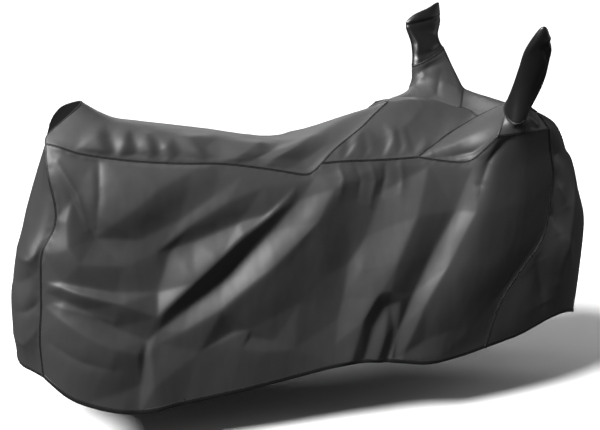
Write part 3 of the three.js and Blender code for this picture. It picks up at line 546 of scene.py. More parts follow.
FINE_FOLDS = {
    "side_panel_right": [
        ([(690, 862), (700, 820), (680, 770)], 5, 10, 12),
        ([(745, 866), (760, 815), (748, 760)], -5, 10, 12),
        ([(800, 868), (812, 812), (790, 740)], 5, 11, 12),
        ([(850, 872), (846, 820), (828, 770)], -6, 11, 12),
        ([(900, 872), (905, 820), (895, 770)], 4, 11, 12),
        ([(-232, 470), (-150, 448), (-60, 420)], 4, 14, 14),
        ([(-250, 350), (-160, 300), (-60, 270)], -5, 18, 18),
        ([(-205, 900), (-150, 800), (-125, 700)], 5, 10, 10),
        ([(-80, 925), (-84, 800), (-98, 700)], -5, 12, 12),
        ([(1231, 953), (1197, 913), (1170, 873), (1150, 800)], -11, 12, 16),
        ([(1380, 560), (1300, 480), (1230, 400)], -6, 22, 22),
        ([(1440, 800), (1450, 650), (1400, 560)], -6, 14, 14),
    ],
    "side_panel_left": [
        ([(240, 800), (120, 700), (0, 600)], 6, 16, 16),
        ([(700, 860), (600, 720), (520, 600)], -6, 16, 18),
        ([(1020, 880), (1000, 700), (950, 520)], 6, 16, 16),
        ([(300, 330), (420, 300), (540, 280)], -5, 18, 18),
    ],
    "front_panel": [
        ([(1395, 900), (1440, 880), (1500, 900)], -7, 14, 14),
        ([(1432, 800), (1470, 760), (1500, 700)], 7, 16, 16),
        ([(1420, 720), (1460, 660), (1480, 600)], -8, 16, 18),
        ([(1440, 650), (1520, 560), (1560, 480)], 6, 18, 18),
        ([(1260, 1030), (1330, 1010), (1400, 960)], -6, 16, 16),
    ],
    "rear_panel": [
        ([(-262, 640), (-300, 600), (-350, 600)], 6, 14, 14),
        ([(-270, 480), (-320, 440), (-360, 420)], -6, 16, 16),
        ([(-275, 400), (-330, 330), (-380, 320)], 5, 18, 18),
    ],
    "tank_panel": [
        ([(1040, 1040), (960, 985), (900, 960)], 6, 30, 20),
    ],
    "shoulder_panel_left": [
        ([(1150, 1150), (1185, 1172), (1277, 1205)], -9, 8, 12),
        ([(1160, 1130), (1239, 1105), (1326, 1057)], 8, 12, 14),
        ([(1040, 1050), (1121, 1085), (1160, 1140)], 7, 12, 14),
        ([(1120, 1040), (1190, 1070), (1230, 1150)], -7, 12, 14),
    ],
    "shoulder_panel_right": [
        ([(1010, 900), (1090, 925), (1180, 980)], 7, 14, 14),
        ([(1060, 885), (1130, 905), (1200, 960)], -8, 12, 14),
        ([(1200, 1000), (1260, 1010), (1320, 1030)], -6, 12, 12),
    ],
    "gusset_right": [
        ([(1240, 1020), (1262, 990), (1290, 975)], -7, 10, 10),
        ([(1290, 1030), (1330, 1000), (1345, 980)], 6, 10, 10),
    ],
    "gusset_left": [
        ([(1180, 1180), (1230, 1120), (1280, 1060)], -7, 14, 14),
    ],
    "ear_pocket_left": [
        ([(1095, 1326), (1180, 1345), (1262, 1366)], -6, 5, 10),
        ([(1120, 1320), (1150, 1260), (1145, 1200)], 4, 10, 10),
        ([(1150, 1215), (1200, 1228), (1268, 1262)], -6, 8, 10),
    ],
    "ear_pocket_right": [
        ([(1338, 1290), (1312, 1262), (1340, 1226)], 4, 6, 6),
        ([(1330, 1270), (1305, 1240), (1330, 1200)], -4, 6, 6),
        ([(1226, 1150), (1262, 1230), (1296, 1296)], 4, 10, 10),
        ([(1290, 1060), (1310, 1120), (1330, 1180)], -4, 10, 10),
    ],
}
FACETS = {
    "side_panel_right": {
        "valley from the belt's rear corner": [
            (-230, 960, 0), (-195, 880, -6), (-165, 790, -15), (-105, 675, -28), (-15, 585, -20),
            (80, 500, -28),
        ],
        "crest up from the first knot": [
            (-105, 675, -28), (-50, 710, -5), (20, 750, 8), (105, 810, 12), (210, 860, 8), (305, 900, 0),
        ],
        "dark streak": [(-105, 675, -28), (35, 665, -21), (160, 720, -16), (270, 785, -5), (365, 840, 0)],
        "pale streak": [(85, 625, -18), (195, 700, -6), (310, 760, 4), (430, 805, 2), (495, 845, 0)],
        "valley up from the second knot": [
            (80, 500, -28), (95, 540, -26), (120, 615, -28), (140, 635, -28), (200, 650, -25),
            (345, 700, -18), (435, 720, -8), (545, 810, 0),
        ],
        "crest behind the long trough": [
            (75, 425, 0), (95, 440, 5), (195, 525, 15), (275, 590, 18), (360, 660, 15), (445, 715, 10),
            (535, 790, 2),
        ],
        "long trough": [
            (75, 380, -12), (170, 450, -21), (275, 520, -25), (335, 575, -25), (440, 665, -20),
            (545, 760, -11), (605, 825, 0),
        ],
        "crest of the wide band": [
            (80, 345, -5), (155, 375, 5), (275, 435, 16), (435, 550, 22), (600, 690, 20), (670, 790, 12),
            (740, 865, 0),
        ],
        "foot of the wide band": [
            (200, 305, 0), (365, 365, 0), (530, 435, -5), (635, 520, -9), (715, 675, -11), (795, 845, 0),
        ],
        "valley of the middle": [
            (860, 860, 0), (830, 775, -14), (770, 635, -20), (705, 550, -23), (680, 435, -19),
            (660, 370, -18), (650, 290, -9), (655, 215, 0),
        ],
        "small facets of the middle": [(705, 550, -23), (745, 530, -4), (770, 485, 7), (805, 455, 15)],
        "crest of the middle": [(995, 855, 0), (945, 695, 16), (865, 545, 20), (805, 455, 15)],
        "valley of the front half": [
            (1130, 855, 0), (1070, 710, -15), (990, 570, -22), (920, 445, -22), (865, 310, -18),
            (835, 205, -9),
        ],
        "crest of the front half": [
            (1215, 870, 0), (1135, 710, 7), (1040, 535, 9), (955, 405, 9), (900, 280, 5), (875, 210, 3),
        ],
        "outside of the arch": [
            (700, 225, 0), (740, 360, 9), (785, 435, 14), (805, 455, 15), (835, 455, 12), (870, 420, -3),
        ],
        "inside of the arch": [
            (745, 225, -19), (775, 340, -20), (810, 400, -20), (835, 410, -19), (850, 330, -19),
            (830, 220, -16),
        ],
        "crest in the arch": [(790, 220, 0), (815, 300, 0), (825, 355, -7)],
        "low crease": [(855, 220, -9), (955, 280, -7), (1050, 310, 0)],
        "plain field in front": [(1120, 300, 3), (1240, 500, 4), (1320, 730, 5), (1300, 870, 3)],
        "facet at the rear seam": [(-185, 720, 4), (-180, 640, 8), (-150, 595, 5)],
        "valley to the second knot": [
            (-257, 560, 0), (-210, 542, -10), (-145, 526, -16), (-55, 507, -20), (80, 500, -28),
        ],
        "crest under it": [(-258, 537, 0), (-210, 525, 5), (-140, 503, 10), (-35, 475, 8), (75, 425, 0)],
        "lower valley": [(-260, 510, 0), (-205, 487, -11), (-148, 457, -18), (-58, 400, -20), (38, 353, -15)],
        "lower crest": [(-267, 463, 0), (-215, 430, 8), (-115, 365, 11), (-50, 335, 10), (12, 315, 2)],
        "rear edge of the foot crease": [(38, 353, -15), (30, 300, -11), (15, 215, -11), (5, 123, -4)],
        "front edge of the foot crease": [(75, 380, -12), (50, 320, 1), (55, 210, 10), (60, 121, 5)],
        "zigzag above the hem": [
            (265, 320, 0), (305, 360, -8), (335, 305, 5), (365, 340, -6), (400, 290, 5), (445, 320, -6),
            (505, 285, 0),
        ],
        "edge": [
            (-230, 960, 0), (-215, 840, 0), (-225, 725, 0), (-255, 620, 0), (-257, 560, 0), (-258, 537, 0),
            (-260, 510, 0), (-267, 463, 0), (-280, 370, 0), (-275, 300, 0), (-225, 210, 0), (-155, 170, 0),
            (-50, 130, 0), (5, 123, -4), (60, 121, 5), (135, 133, 0), (295, 155, 0), (490, 185, 0),
            (655, 215, 0), (700, 225, 0), (745, 225, -19), (790, 220, 0), (830, 220, -16), (875, 210, 3),
            (1015, 220, 0), (1185, 250, 0), (1265, 430, 0), (1350, 520, 0), (1420, 590, 0), (1460, 800, 0),
            (1425, 970, 0), (1255, 960, 0), (1215, 870, 0), (1130, 855, 0), (995, 855, 0), (860, 860, 0),
            (795, 845, 0), (740, 865, 0), (605, 825, 0), (545, 810, 0), (495, 845, 0), (365, 880, 0),
            (305, 900, 0), (105, 912, 0), (-75, 936, 0), (-230, 960, 0),
        ],
    },
    "seat_panel": {
        "pale crest of the hump": [(-95, 1025, 0), (-80, 975, 13), (-65, 935, 10), (-45, 904, 0)],
        "valley beside it": [(-58, 1025, 0), (-40, 965, -13), (-32, 925, -8)],
        "second crest": [(-15, 1010, 0), (3, 955, 13), (-11, 922, 6), (-18, 900, 0)],
        "second valley": [(15, 1000, 0), (30, 955, -10), (38, 920, -6)],
        "third crest": [(50, 1000, 0), (68, 965, 10), (80, 928, 10), (90, 890, 0)],
        "third valley": [(90, 980, 0), (107, 925, -8)],
        "fourth crest": [(117, 965, 0), (132, 933, 10), (146, 885, 0)],
        "fourth valley": [(155, 965, 0), (173, 920, -8)],
        "fifth crest": [(180, 990, 0), (205, 955, 10), (233, 920, 8), (258, 878, 0)],
        "fifth valley": [(256, 930, -6), (287, 896, -5)],
        "first slant crest": [(309, 876, 0), (365, 900, 6), (425, 925, 11), (530, 980, 8), (605, 1010, 0)],
        "first slant valley": [(361, 868, 0), (425, 895, -6), (505, 933, -10), (592, 973, 0)],
        "second slant crest": [(437, 855, 0), (480, 890, 8), (600, 937, 10), (695, 985, 0)],
        "second slant valley": [(514, 849, 0), (572, 881, -8), (660, 925, 0)],
        "edge": [
            (-235, 950, 0), (-185, 1065, 0), (-95, 1025, 0), (-58, 1025, 0), (-15, 1010, 0), (15, 1000, 0),
            (50, 1000, 0), (90, 980, 0), (117, 965, 0), (155, 965, 0), (180, 990, 0), (335, 975, 0),
            (450, 990, 0), (605, 1010, 0), (695, 1037, 0), (755, 982, 0), (640, 869, 0), (586, 820, 0),
            (437, 855, 0), (361, 868, 0), (309, 876, 0), (258, 878, 0), (146, 885, 0), (90, 890, 0),
            (-18, 900, 0), (-45, 904, 0), (-150, 929, 0), (-235, 950, 0),
        ],
    },
    "tank_panel": {
        "crests": [
            (685, 917, 5), (707, 873, 0), (765, 935, 9), (780, 874, 0), (810, 917, 2), (840, 875, 0),
            (897, 950, 9), (892, 877, 0), (934, 923, 4), (942, 875, 0), (995, 911, 5), (978, 878, 0),
        ],
        "first valley": [(662, 908, -2), (668, 941, 0)],
        "second valley": [(730, 906, -6), (729, 975, 0)],
        "third valley": [(796, 907, -4), (805, 997, 0)],
        "fourth valley": [(863, 915, -8), (875, 1000, 0)],
        "fifth valley": [(916, 917, -4), (917, 994, 0)],
        "sixth valley": [(959, 912, -6), (946, 990, 0)],
        "edge": [
            (631, 872, 0), (668, 941, 0), (729, 975, 0), (805, 997, 0), (875, 1000, 0), (917, 994, 0),
            (946, 990, 0), (1011, 955, 0), (1040, 876, 0), (978, 878, 0), (942, 875, 0), (892, 877, 0),
            (840, 875, 0), (780, 874, 0), (707, 873, 0), (631, 872, 0),
        ],
    },
}
# Each facet's edges are rounded a little, and a share of the lift is rounded far more.
FACET_ROUNDS, SOFT_ROUNDS, SOFT = 4, 80, 0.4
print("folds:", sum(map(len, SOLID_FOLDS.values())), "and finer ones:", sum(map(len, FINE_FOLDS.values())))
print("lines of the facets:", {node: len(lines) for node, lines in FACETS.items()})

# %% [markdown]
# A fold lifts each point by a bell-shaped amount that depends on the distance to its path. Real
# creased cloth has a sharper crest than a bell, so the fine version has a pointed profile whose tip is
# rounded over a few millimetres. For the facets, the points of the lines are joined into triangles, and
# each point of the mesh takes its lift from the triangle that it lies in.

# %% Lift of a fold
FOLD_END, FOLD_FLAT = 0.35, 0.06  # the least share of the rise, and the level share of the path at each end
CREST_ROUND, CREST_POWER = 3.5, 1.12
SAME_PLACE = 1e-3


def fold_lift(fold, x, height, profile):
    path, rise, upper, lower = fold
    nearest, side, along = np.full(len(x), np.inf), np.zeros(len(x)), np.zeros(len(x))
    for k, ((ax, az), (bx, bz)) in enumerate(zip(path[:-1], path[1:])):
        run = (bx - ax) ** 2 + (bz - az) ** 2
        share = np.clip(((x - ax) * (bx - ax) + (height - az) * (bz - az)) / run, 0, 1)
        far = np.hypot(x - ax - share * (bx - ax), height - az - share * (bz - az))
        turned = (bx - ax) * (height - az) - (bz - az) * (x - ax)
        closer = far < nearest
        side[closer] = (turned * (1 if bx >= ax else -1))[closer]
        along[closer] = ((k + share) / (len(path) - 1))[closer]
        nearest = np.minimum(nearest, far)
    share = FOLD_END + (1 - FOLD_END) * np.sin(np.pi * np.clip(along, FOLD_FLAT, 1 - FOLD_FLAT))
    return rise * share * profile(nearest, np.where(side > 0, upper, lower))


def bell(far, reach):
    return np.exp(-((far / reach) ** 2))


def pointed(far, reach):
    return np.exp(-(((np.hypot(far, CREST_ROUND) - CREST_ROUND) / reach) ** CREST_POWER))


def facet_lift(lines, co):
    """The lift of each point on the flat triangles between the given lines."""
    points = sorted({point for line in lines.values() for point in line})
    row = {point: k for k, point in enumerate(points)}
    edges = [(row[a], row[b]) for line in lines.values() for a, b in zip(line[:-1], line[1:])]
    flat = [Vector((x, height)) for x, height, _ in points]
    spots, _, faces, origins, *_ = geometry.delaunay_2d_cdt(flat, edges, [], 0, SAME_PLACE)
    print("facets:", len(faces), "places where lines cross:", sum(not found for found in origins))
    given = [np.mean([points[k][2] for k in found]) if found else 0 for found in origins]
    x, _, height = to_floor(co).T
    lift = np.zeros(len(co))
    for face in faces:
        (ax, az), (bx, bz), (cx, cz) = (spots[k] for k in face)
        whole = (bx - ax) * (cz - az) - (cx - ax) * (bz - az)
        b = ((x - ax) * (cz - az) - (cx - ax) * (height - az)) / whole
        c = ((bx - ax) * (height - az) - (x - ax) * (bz - az)) / whole
        inside = (b >= 0) & (c >= 0) & (b + c <= 1)
        blend = (1 - b - c) * given[face[0]] + b * given[face[1]] + c * given[face[2]]
        lift[inside] = blend[inside]
    return lift


def rounded(mesh, lift, rounds):
    """Rounds the edges between the facets: each pass gives a point half of its neighbours' mean."""
    ends = numbers(mesh.edges, "vertices", 2).astype(int)
    count = np.bincount(ends.ravel(), minlength=len(lift))
    for _ in range(rounds):
        total = np.bincount(ends[:, 0], lift[ends[:, 1]], len(lift))
        total += np.bincount(ends[:, 1], lift[ends[:, 0]], len(lift))
        lift = 0.5 * lift + 0.5 * total / np.maximum(count, 1)
    return lift


def smoothstep(value, start, end):
    share = np.clip((value - start) / (end - start), 0, 1)
    return share * share * (3 - 2 * share)


def total_lift(folds, co, profile):
    """The lifts of all folds added up."""
    x, _, height = to_floor(co).T
    return sum((fold_lift(fold, x, height, profile) for fold in folds), np.zeros(len(co)))


print("a fold of 26 mm, 20 mm off its crest:", [
    round(26 * float(profile(np.array([20.0]), 40)[0]), 1) for profile in (bell, pointed)
], "mm")

# %% [markdown]
# The solid's folds come out of the coarse mesh along its normals, and a few rounds of smoothing press
# out what is left, like an iron. The edges stay where they are, because the neighbour is sewn to them.

# %% Iron the coarse pieces
SEAM_FADE = 0.045
IRON_ROUNDS = 3
SMOOTH_STEP, GROW_STEP = 0.5, -0.53  # each smoothing is undone in the large, so the piece doesn't shrink
NEIGHBOUR = 0.004


def sewn_distance(node, co):
    """How far each point is from a sewn edge. A free hem isn't sewn."""
    sewn = [
        p for p in rim_points[node]
        if any(tree.find(p)[2] < NEIGHBOUR for other, tree in rim_trees.items() if other != node)
    ]
    tree = tree_of(sewn)
    return np.array([tree.find(p)[2] for p in co])


def iron(node):
    mesh = cloth[node].data
    co, normals = numbers(mesh.vertices, "co"), numbers(mesh.vertex_normals, "vector")
    fade = smoothstep(sewn_distance(node, co), 0, SEAM_FADE)
    lift = total_lift(SOLID_FOLDS.get(node, []), co, bell) * fade / 1000
    co -= lift[:, None] * normals
    ends = numbers(mesh.edges, "vertices", 2).astype(int)
    inside = np.ones(len(co), bool)
    inside[edge_points(mesh)] = False
    for step in [SMOOTH_STEP, GROW_STEP] * IRON_ROUNDS:
        total, count = np.zeros_like(co), np.zeros(len(co))
        for a, b in (ends.T, ends[:, ::-1].T):
            np.add.at(total, a, co[b])
            np.add.at(count, a, 1)
        change = total / count[:, None] - co
        co[inside] += step * change[inside]
    mesh.vertices.foreach_set("co", co.ravel())
    mesh.update()
    return np.abs(lift).max() * 1000


for node in cloth:
    if not node.startswith(("ear", "gusset", "shoulder")):
        print(node, "deepest fold taken out:", round(iron(node), 1), "mm")

# %% [markdown]
# Subdivision makes each piece fine enough for creases a few millimetres wide. The pattern map is
# subdivided along with it.

# %% Subdivide
FINE_LEVELS = 3

for node, piece in cloth.items():
    only(piece)
    modifier = piece.modifiers.new("finer cloth", "SUBSURF")
    modifier.levels = modifier.render_levels = FINE_LEVELS
    # A panel keeps its four corners. A shoulder or pocket has none but those that are held already.
    modifier.boundary_smooth = "ALL" if node.startswith(("ear", "shoulder")) else "PRESERVE_CORNERS"
    bpy.ops.object.modifier_apply(modifier=modifier.name)
rim_points, rim_trees = find_rims()
print("fine faces:", {node: len(piece.data.polygons) for node, piece in cloth.items()})

# %% [markdown]
# Now the folds are laid again, sharp, together with the finer creases, a soft unevenness that all
# hung cloth has, and the small puckers that a stitched seam gathers.

# %% Lay the folds
FINE_FADE = 0.022
RUN_OUT = (0.06, 0.13)  # the facets of the seat and the tank run out toward the middle line, in metres
UNEVEN = [(0.16, 2.4), (0.06, 0.8), (0.024, 0.4)]  # how long, in metres, and how high, in mm
UPRIGHT = 2.2  # how much longer a swell is downwards than along
PIECE_STEP, SWELL_STEP = 7.3, 3.1  # these steps give each piece and each swell its own randomness
PUCKER = {"every": 0.019, "high": 0.9, "start": 0.006, "deep": 0.030, "squeeze": (1, 1, 0.8)}


def unevenness(co, salt):
    """Soft random swells, longer downwards than along, because cloth hangs in upright folds."""
    total = np.zeros(len(co))
    for k, (length, high) in enumerate(UNEVEN):
        places = co / (length, length, UPRIGHT * length) + (salt * PIECE_STEP + k * SWELL_STEP, salt, k)
        total += high * np.array([noise.noise(Vector(place)) for place in places])
    return total


def lay_folds(node, salt):
    mesh = cloth[node].data
    co, normals = numbers(mesh.vertices, "co"), numbers(mesh.vertex_normals, "vector")
    sewn = sewn_distance(node, co)
    if node in FACETS:
        lift = rounded(mesh, facet_lift(FACETS[node], co), FACET_ROUNDS)
        lift = (1 - SOFT) * lift + SOFT * rounded(mesh, lift, SOFT_ROUNDS)
        lift *= smoothstep(sewn, 0, FINE_FADE) * smoothstep(np.abs(co[:, 1]), *RUN_OUT)
    else:
        lift = total_lift(SOLID_FOLDS.get(node, []), co, pointed) * smoothstep(sewn, 0, SEAM_FADE)
    lift += total_lift(FINE_FOLDS.get(node, []), co, pointed) * smoothstep(sewn, 0, FINE_FADE)
    lift += unevenness(co, salt) * smoothstep(sewn, 0, 2 * SEAM_FADE)
    wave = np.array([
        noise.noise(Vector((p * PUCKER["squeeze"]) / PUCKER["every"]) + Vector((0, salt, 0))) for p in co
    ])
    near = smoothstep(sewn, 0, PUCKER["start"]) * (1 - smoothstep(sewn, PUCKER["start"], PUCKER["deep"]))
    lift += PUCKER["high"] * wave * near
    mesh.vertices.foreach_set("co", (co + lift[:, None] / 1000 * normals).ravel())
    mesh.update()
    return lift


for salt, node in enumerate(cloth):
    lift = lay_folds(node, salt)
    print(node, "lifted from", round(lift.min(), 1), "to", round(lift.max(), 1), "mm")

# %% [markdown]
# Every seam is found from the meshes: an edge point whose nearest neighbour is another piece belongs to
# the seam with that piece, and one with no neighbour belongs to the hem. The points are kept in order,
# with both pieces' normals, because the seam's cross-section lies on both.

# %% Find the seams
def directed_rims(mesh):
    """The edge loops of a piece, each walked with the cloth on its left."""
    uses, after = {}, {}
    for face in mesh.polygons:
        corners = list(face.vertices)
        for a, b in zip(corners, corners[1:] + corners[:1]):
            uses[min(a, b), max(a, b)] = uses.get((min(a, b), max(a, b)), 0) + 1
    for face in mesh.polygons:
        corners = list(face.vertices)
        for a, b in zip(corners, corners[1:] + corners[:1]):
            if uses[min(a, b), max(a, b)] == 1:
                after[a] = b
    loops = []
    while after:
        loop = [next(iter(after))]
        while loop[-1] in after:
            loop.append(after.pop(loop[-1]))
        loops.append(loop[:-1])
    return loops


fine = {}
for node, piece in cloth.items():
    co = numbers(piece.data.vertices, "co")
    loops = directed_rims(piece.data)
    on_rim = [v for loop in loops for v in loop]
    fine[node] = {
        "co": co, "normals": numbers(piece.data.vertex_normals, "vector"), "loops": loops,
        "on_rim": on_rim, "tree": tree_of(co[on_rim]),
    }


def seam_runs(node):
    """Runs of edge points that share a neighbour, as (neighbour, points)."""
    for loop in fine[node]["loops"]:
        labels = []
        for v in loop:
            far, other = min(
                (data["tree"].find(fine[node]["co"][v])[2], other)
                for other, data in fine.items() if other != node
            )
            labels.append(other if far < NEIGHBOUR else "")
        turn = next((k for k in range(len(loop)) if labels[k] != labels[k - 1]), 0)
        loop, labels = loop[turn:] + loop[:turn], labels[turn:] + labels[:turn]
        start = 0
        for k in range(1, len(loop) + 1):
            if k == len(loop) or labels[k] != labels[start]:
                yield labels[start], loop[start:k] + ([loop[k % len(loop)]] if k - start < len(loop) else [])
                start = k


SHORTEST_SEAM = 0.015
seam_list = []
for node in cloth:
    for other, run in seam_runs(node):
        co = fine[node]["co"][run]
        long = np.linalg.norm(np.diff(co, axis=0), axis=1).sum()
        if long > SHORTEST_SEAM and (other == "" or node < other):
            seam_list.append((node, other, run, long))
print("seams:", sum(1 for s in seam_list if s[1]), "with", round(sum(s[3] for s in seam_list if s[1]), 2),
      "m, hems:", sum(1 for s in seam_list if not s[1]), "with",
      round(sum(s[3] for s in seam_list if not s[1]), 2), "m")

# %% [markdown]
# A seam in coated cloth is felled: both edges are folded into each other and sewn down with two rows
# of stitches, which makes a flat ridge with a groove in its middle. The hem is folded round the raw
# edge and sewn once. Both are a small cross-section carried along the edge.

# %% Carry a cross-section along an edge
# Millimetres: how far to the side (above zero on the first piece), and how far out.
FELLED = [
    (3.5, -0.9), (3.8, 0.1), (3.4, 1.1), (0.9, 1.4), (0.0, 0.3), (-0.9, 1.4), (-3.4, 1.1), (-3.8, 0.1),
    (-3.5, -0.9),
]
HEMMED = [
    (13.0, 0.3), (12.4, 1.1), (6.0, 1.3), (0.6, 1.5), (-1.0, 0.7), (-1.2, -0.9), (0.4, -2.0), (12.4, -1.7),
]
FELLED_ROWS, HEMMED_ROWS = [2.2, -2.2], [10.5]  # where the rows of stitches run, in mm from the edge
CALM_ROUNDS = 3  # rounds that smooth the directions along an edge


def frames_along(node, other, run):
    """Points, directions into the first and the second piece, and both normals."""
    here = fine[node]
    points, normal_a = here["co"][run].copy(), here["normals"][run].copy()
    points[1:-1] = (points[:-2] + 2 * points[1:-1] + points[2:]) / 4
    along = np.gradient(points, axis=0)
    along /= np.linalg.norm(along, axis=1)[:, None]
    into_a = np.cross(normal_a, along)
    normal_b = normal_a
    into_b = -into_a
    if other:
        there = fine[other]
        nearest = [there["on_rim"][there["tree"].find(p)[1]] for p in points]
        normal_b = there["normals"][nearest]
        into_b = np.cross(along, normal_b)
    sides = [into_a, into_b, normal_a, normal_b]
    for k, side in enumerate(sides):
        side = side / np.linalg.norm(side, axis=1)[:, None]
        for _ in range(CALM_ROUNDS):
            side[1:-1] = (side[:-2] + 2 * side[1:-1] + side[2:]) / 4
        sides[k] = side
    return points, along, *sides


def place_at(places, offset, out):
    points, _, into_a, into_b, normal_a, normal_b = places
    into, normal = (into_a, normal_a) if offset > 0 else (into_b, normal_b)
    if offset == 0:
        normal = (normal_a + normal_b) / 2
    return points + abs(offset) / 1000 * into + out / 1000 * normal


def carry(places, section):
    """Vertices and faces of a closed section carried along, with flat ends."""
    rings = np.stack([place_at(places, *corner) for corner in section], axis=1)
    count, around = rings.shape[:2]
    faces = [
        (k * around + j, k * around + (j + 1) % around,
         (k + 1) * around + (j + 1) % around, (k + 1) * around + j)
        for k in range(count - 1) for j in range(around)
    ]
    faces += [tuple(range(around))[::-1], tuple((count - 1) * around + j for j in range(around))]
    return rings.reshape(-1, 3), faces


print("felled seam", round(FELLED[1][0] - FELLED[-2][0], 1), "mm wide, hem", HEMMED[0][0], "mm deep")

# %% [markdown]
# A stitch is modelled once, a grain of thread with rounded ends, and copied along each row. Real
# thread for such a cover is about 0.4 mm thick with 3 to 4 stitches to the centimetre, which is far
# below one dot of the picture, so the grains are drawn thicker and longer than real ones.

# %% Rows of stitches
STITCH_LONG, STITCH_EVERY, STITCH_THICK = 3.4, 5.0, 0.9
STITCH_OUT = 1.25  # the thread's middle above the cloth's outside
GRAIN = [(-0.5, 0.0), (-0.3, 1.0), (0.3, 1.0), (0.5, 0.0)]  # share of length, share of thickness
GRAIN_SIDES = 5
SHARP_FROM = math.radians(50)


def stitch_row(places, offset):
    line = place_at(places, offset, STITCH_OUT)
    _, along, _, _, normal_a, normal_b = places
    normal = normal_a if offset > 0 else normal_b
    steps = np.linalg.norm(np.diff(line, axis=0), axis=1)
    walked = np.concatenate([[0], np.cumsum(steps)]) * 1000
    spots = np.arange(STITCH_EVERY, walked[-1] - STITCH_EVERY / 2, STITCH_EVERY)
    at = [np.stack([np.interp(spots, walked, values[:, k]) for k in range(3)], 1)
          for values in (line, along, normal)]
    across = np.cross(at[1], at[2])
    vertices, faces = [], []
    for centre, forward, up, side in zip(*at, across):
        first = len(vertices)
        vertices.append(centre + forward * STITCH_LONG * GRAIN[0][0] / 1000)
        for share, thick in GRAIN[1:-1]:
            for turn in np.arange(GRAIN_SIDES) * math.tau / GRAIN_SIDES:
                round_it = math.cos(turn) * side + math.sin(turn) * up
                vertices.append(
                    centre + (forward * STITCH_LONG * share + round_it * thick * STITCH_THICK / 2) / 1000
                )
        vertices.append(centre + forward * STITCH_LONG * GRAIN[-1][0] / 1000)
        for j in range(GRAIN_SIDES):
            a, b = first + 1 + j, first + 1 + (j + 1) % GRAIN_SIDES
            c, d = a + GRAIN_SIDES, b + GRAIN_SIDES
            faces += [(first, b, a), (a, b, d, c), (c, d, first + 1 + 2 * GRAIN_SIDES)]
    return vertices, faces


def new_piece(name, vertices, faces):
    mesh = bpy.data.meshes.new(name)
    mesh.from_pydata([tuple(v) for v in vertices], [], faces)
    piece = bpy.data.objects.new(name, mesh)
    bpy.context.scene.collection.objects.link(piece)
    only(piece)
    bpy.ops.object.mode_set(mode="EDIT")
    bpy.ops.mesh.select_all(action="SELECT")
    bpy.ops.mesh.normals_make_consistent(inside=False)
    bpy.ops.object.mode_set(mode="OBJECT")
    bpy.ops.object.shade_smooth_by_angle(angle=SHARP_FROM)
    return piece


tapes, threads, sewn_to = [], [], {node: [] for node in cloth}
for number, (node, other, run, long) in enumerate(seam_list, 1):
    places = frames_along(node, other, run)
    kind = "seam" if other else "hem"
    tape = new_piece(f"{kind}_{number:02d}_of_{node}", *carry(places, FELLED if other else HEMMED))
    vertices, faces = [], []
    for offset in FELLED_ROWS if other else HEMMED_ROWS:
        more, more_faces = stitch_row(places, offset)
        faces += [tuple(v + len(vertices) for v in face) for face in more_faces]
        vertices += more
    tapes.append(tape)
    sewn_to[node].append(tape)
    if faces:
        thread = new_piece(f"thread_{number:02d}_of_{node}", vertices, faces)
        threads.append(thread)
        sewn_to[node].append(thread)
print("tapes:", len(tapes), "threads:", len(threads), "stitches:",
      sum(len(thread.data.polygons) for thread in threads) // (3 * GRAIN_SIDES))

# %% [markdown]
# Now each piece gets its real thinness. The two large sides have more faces than their shape needs, so
# they are thinned out first, where the cloth is flat. The coated cloth is about 0.2 mm thick; it is
# drawn 0.8 mm, because a thinner wall would let light through where it bends.

# %% Thin cloth
CLOTH_THICK = 0.0008
THIN_OUT = {"side_panel_right": 0.72, "side_panel_left": 0.4}


def thin_cloth(node):
    piece = cloth[node]
    only(piece)
    if node in THIN_OUT:
        modifier = piece.modifiers.new("fewer faces", "DECIMATE")
        modifier.ratio = THIN_OUT[node]
        bpy.ops.object.modifier_apply(modifier=modifier.name)
    modifier = piece.modifiers.new("thickness", "SOLIDIFY")
    modifier.thickness = CLOTH_THICK
    modifier.offset = -1
    bpy.ops.object.modifier_apply(modifier=modifier.name)
    bpy.ops.object.shade_smooth()


def triangles_of(piece):
    return sum(len(face.vertices) - 2 for face in piece.data.polygons)


for node in cloth:
    thin_cloth(node)
print("triangles:", {node: triangles_of(piece) for node, piece in cloth.items()})
print("in all:", sum(map(triangles_of, [*cloth.values(), *tapes, *threads])))

# %% [markdown]
# Such a cover is woven polyester with a polyurethane coating. The eye sees a very dark grey with a
# satin sheen: broad soft highlights on the folds, and a fine weave close by. A plain dark colour with
# a medium roughness gives the sheen; a woven bump and a little unevenness in tone keep it from looking
# like plastic film.

# %% Nodes and colours
def linear(hex_colour):
    parts = [int(hex_colour[k:k + 2], 16) / 255 for k in (1, 3, 5)]
    return (*[c / 12.92 if c <= 0.04045 else ((c + 0.055) / 1.055) ** 2.4 for c in parts], 1)


def add_node(tree, kind, settings=(), inputs=(), links=()):
    """Adds a node, then sets its settings and inputs and links its inputs to outputs."""
    node = tree.nodes.new(kind)
    for name, value in dict(settings).items():
        setattr(node, name, value)
    for name, value in dict(inputs).items():
        node.inputs[name].default_value = value
    for name, output in dict(links).items():
        tree.links.new(output, node.inputs[name])
    return node


THREAD_SPACING = 2.4  # mm between drawn threads; the real ones are about 0.3 mm apart, too fine to show
WAVES = math.tau / (THREAD_SPACING / 1000) / 20  # the wave texture has one ring every tau / 20 units
HAND_WIDTH, CREASE_APART, PLY_LONG = 0.12, 0.05, 0.0016  # the sizes of the noise patterns, in metres


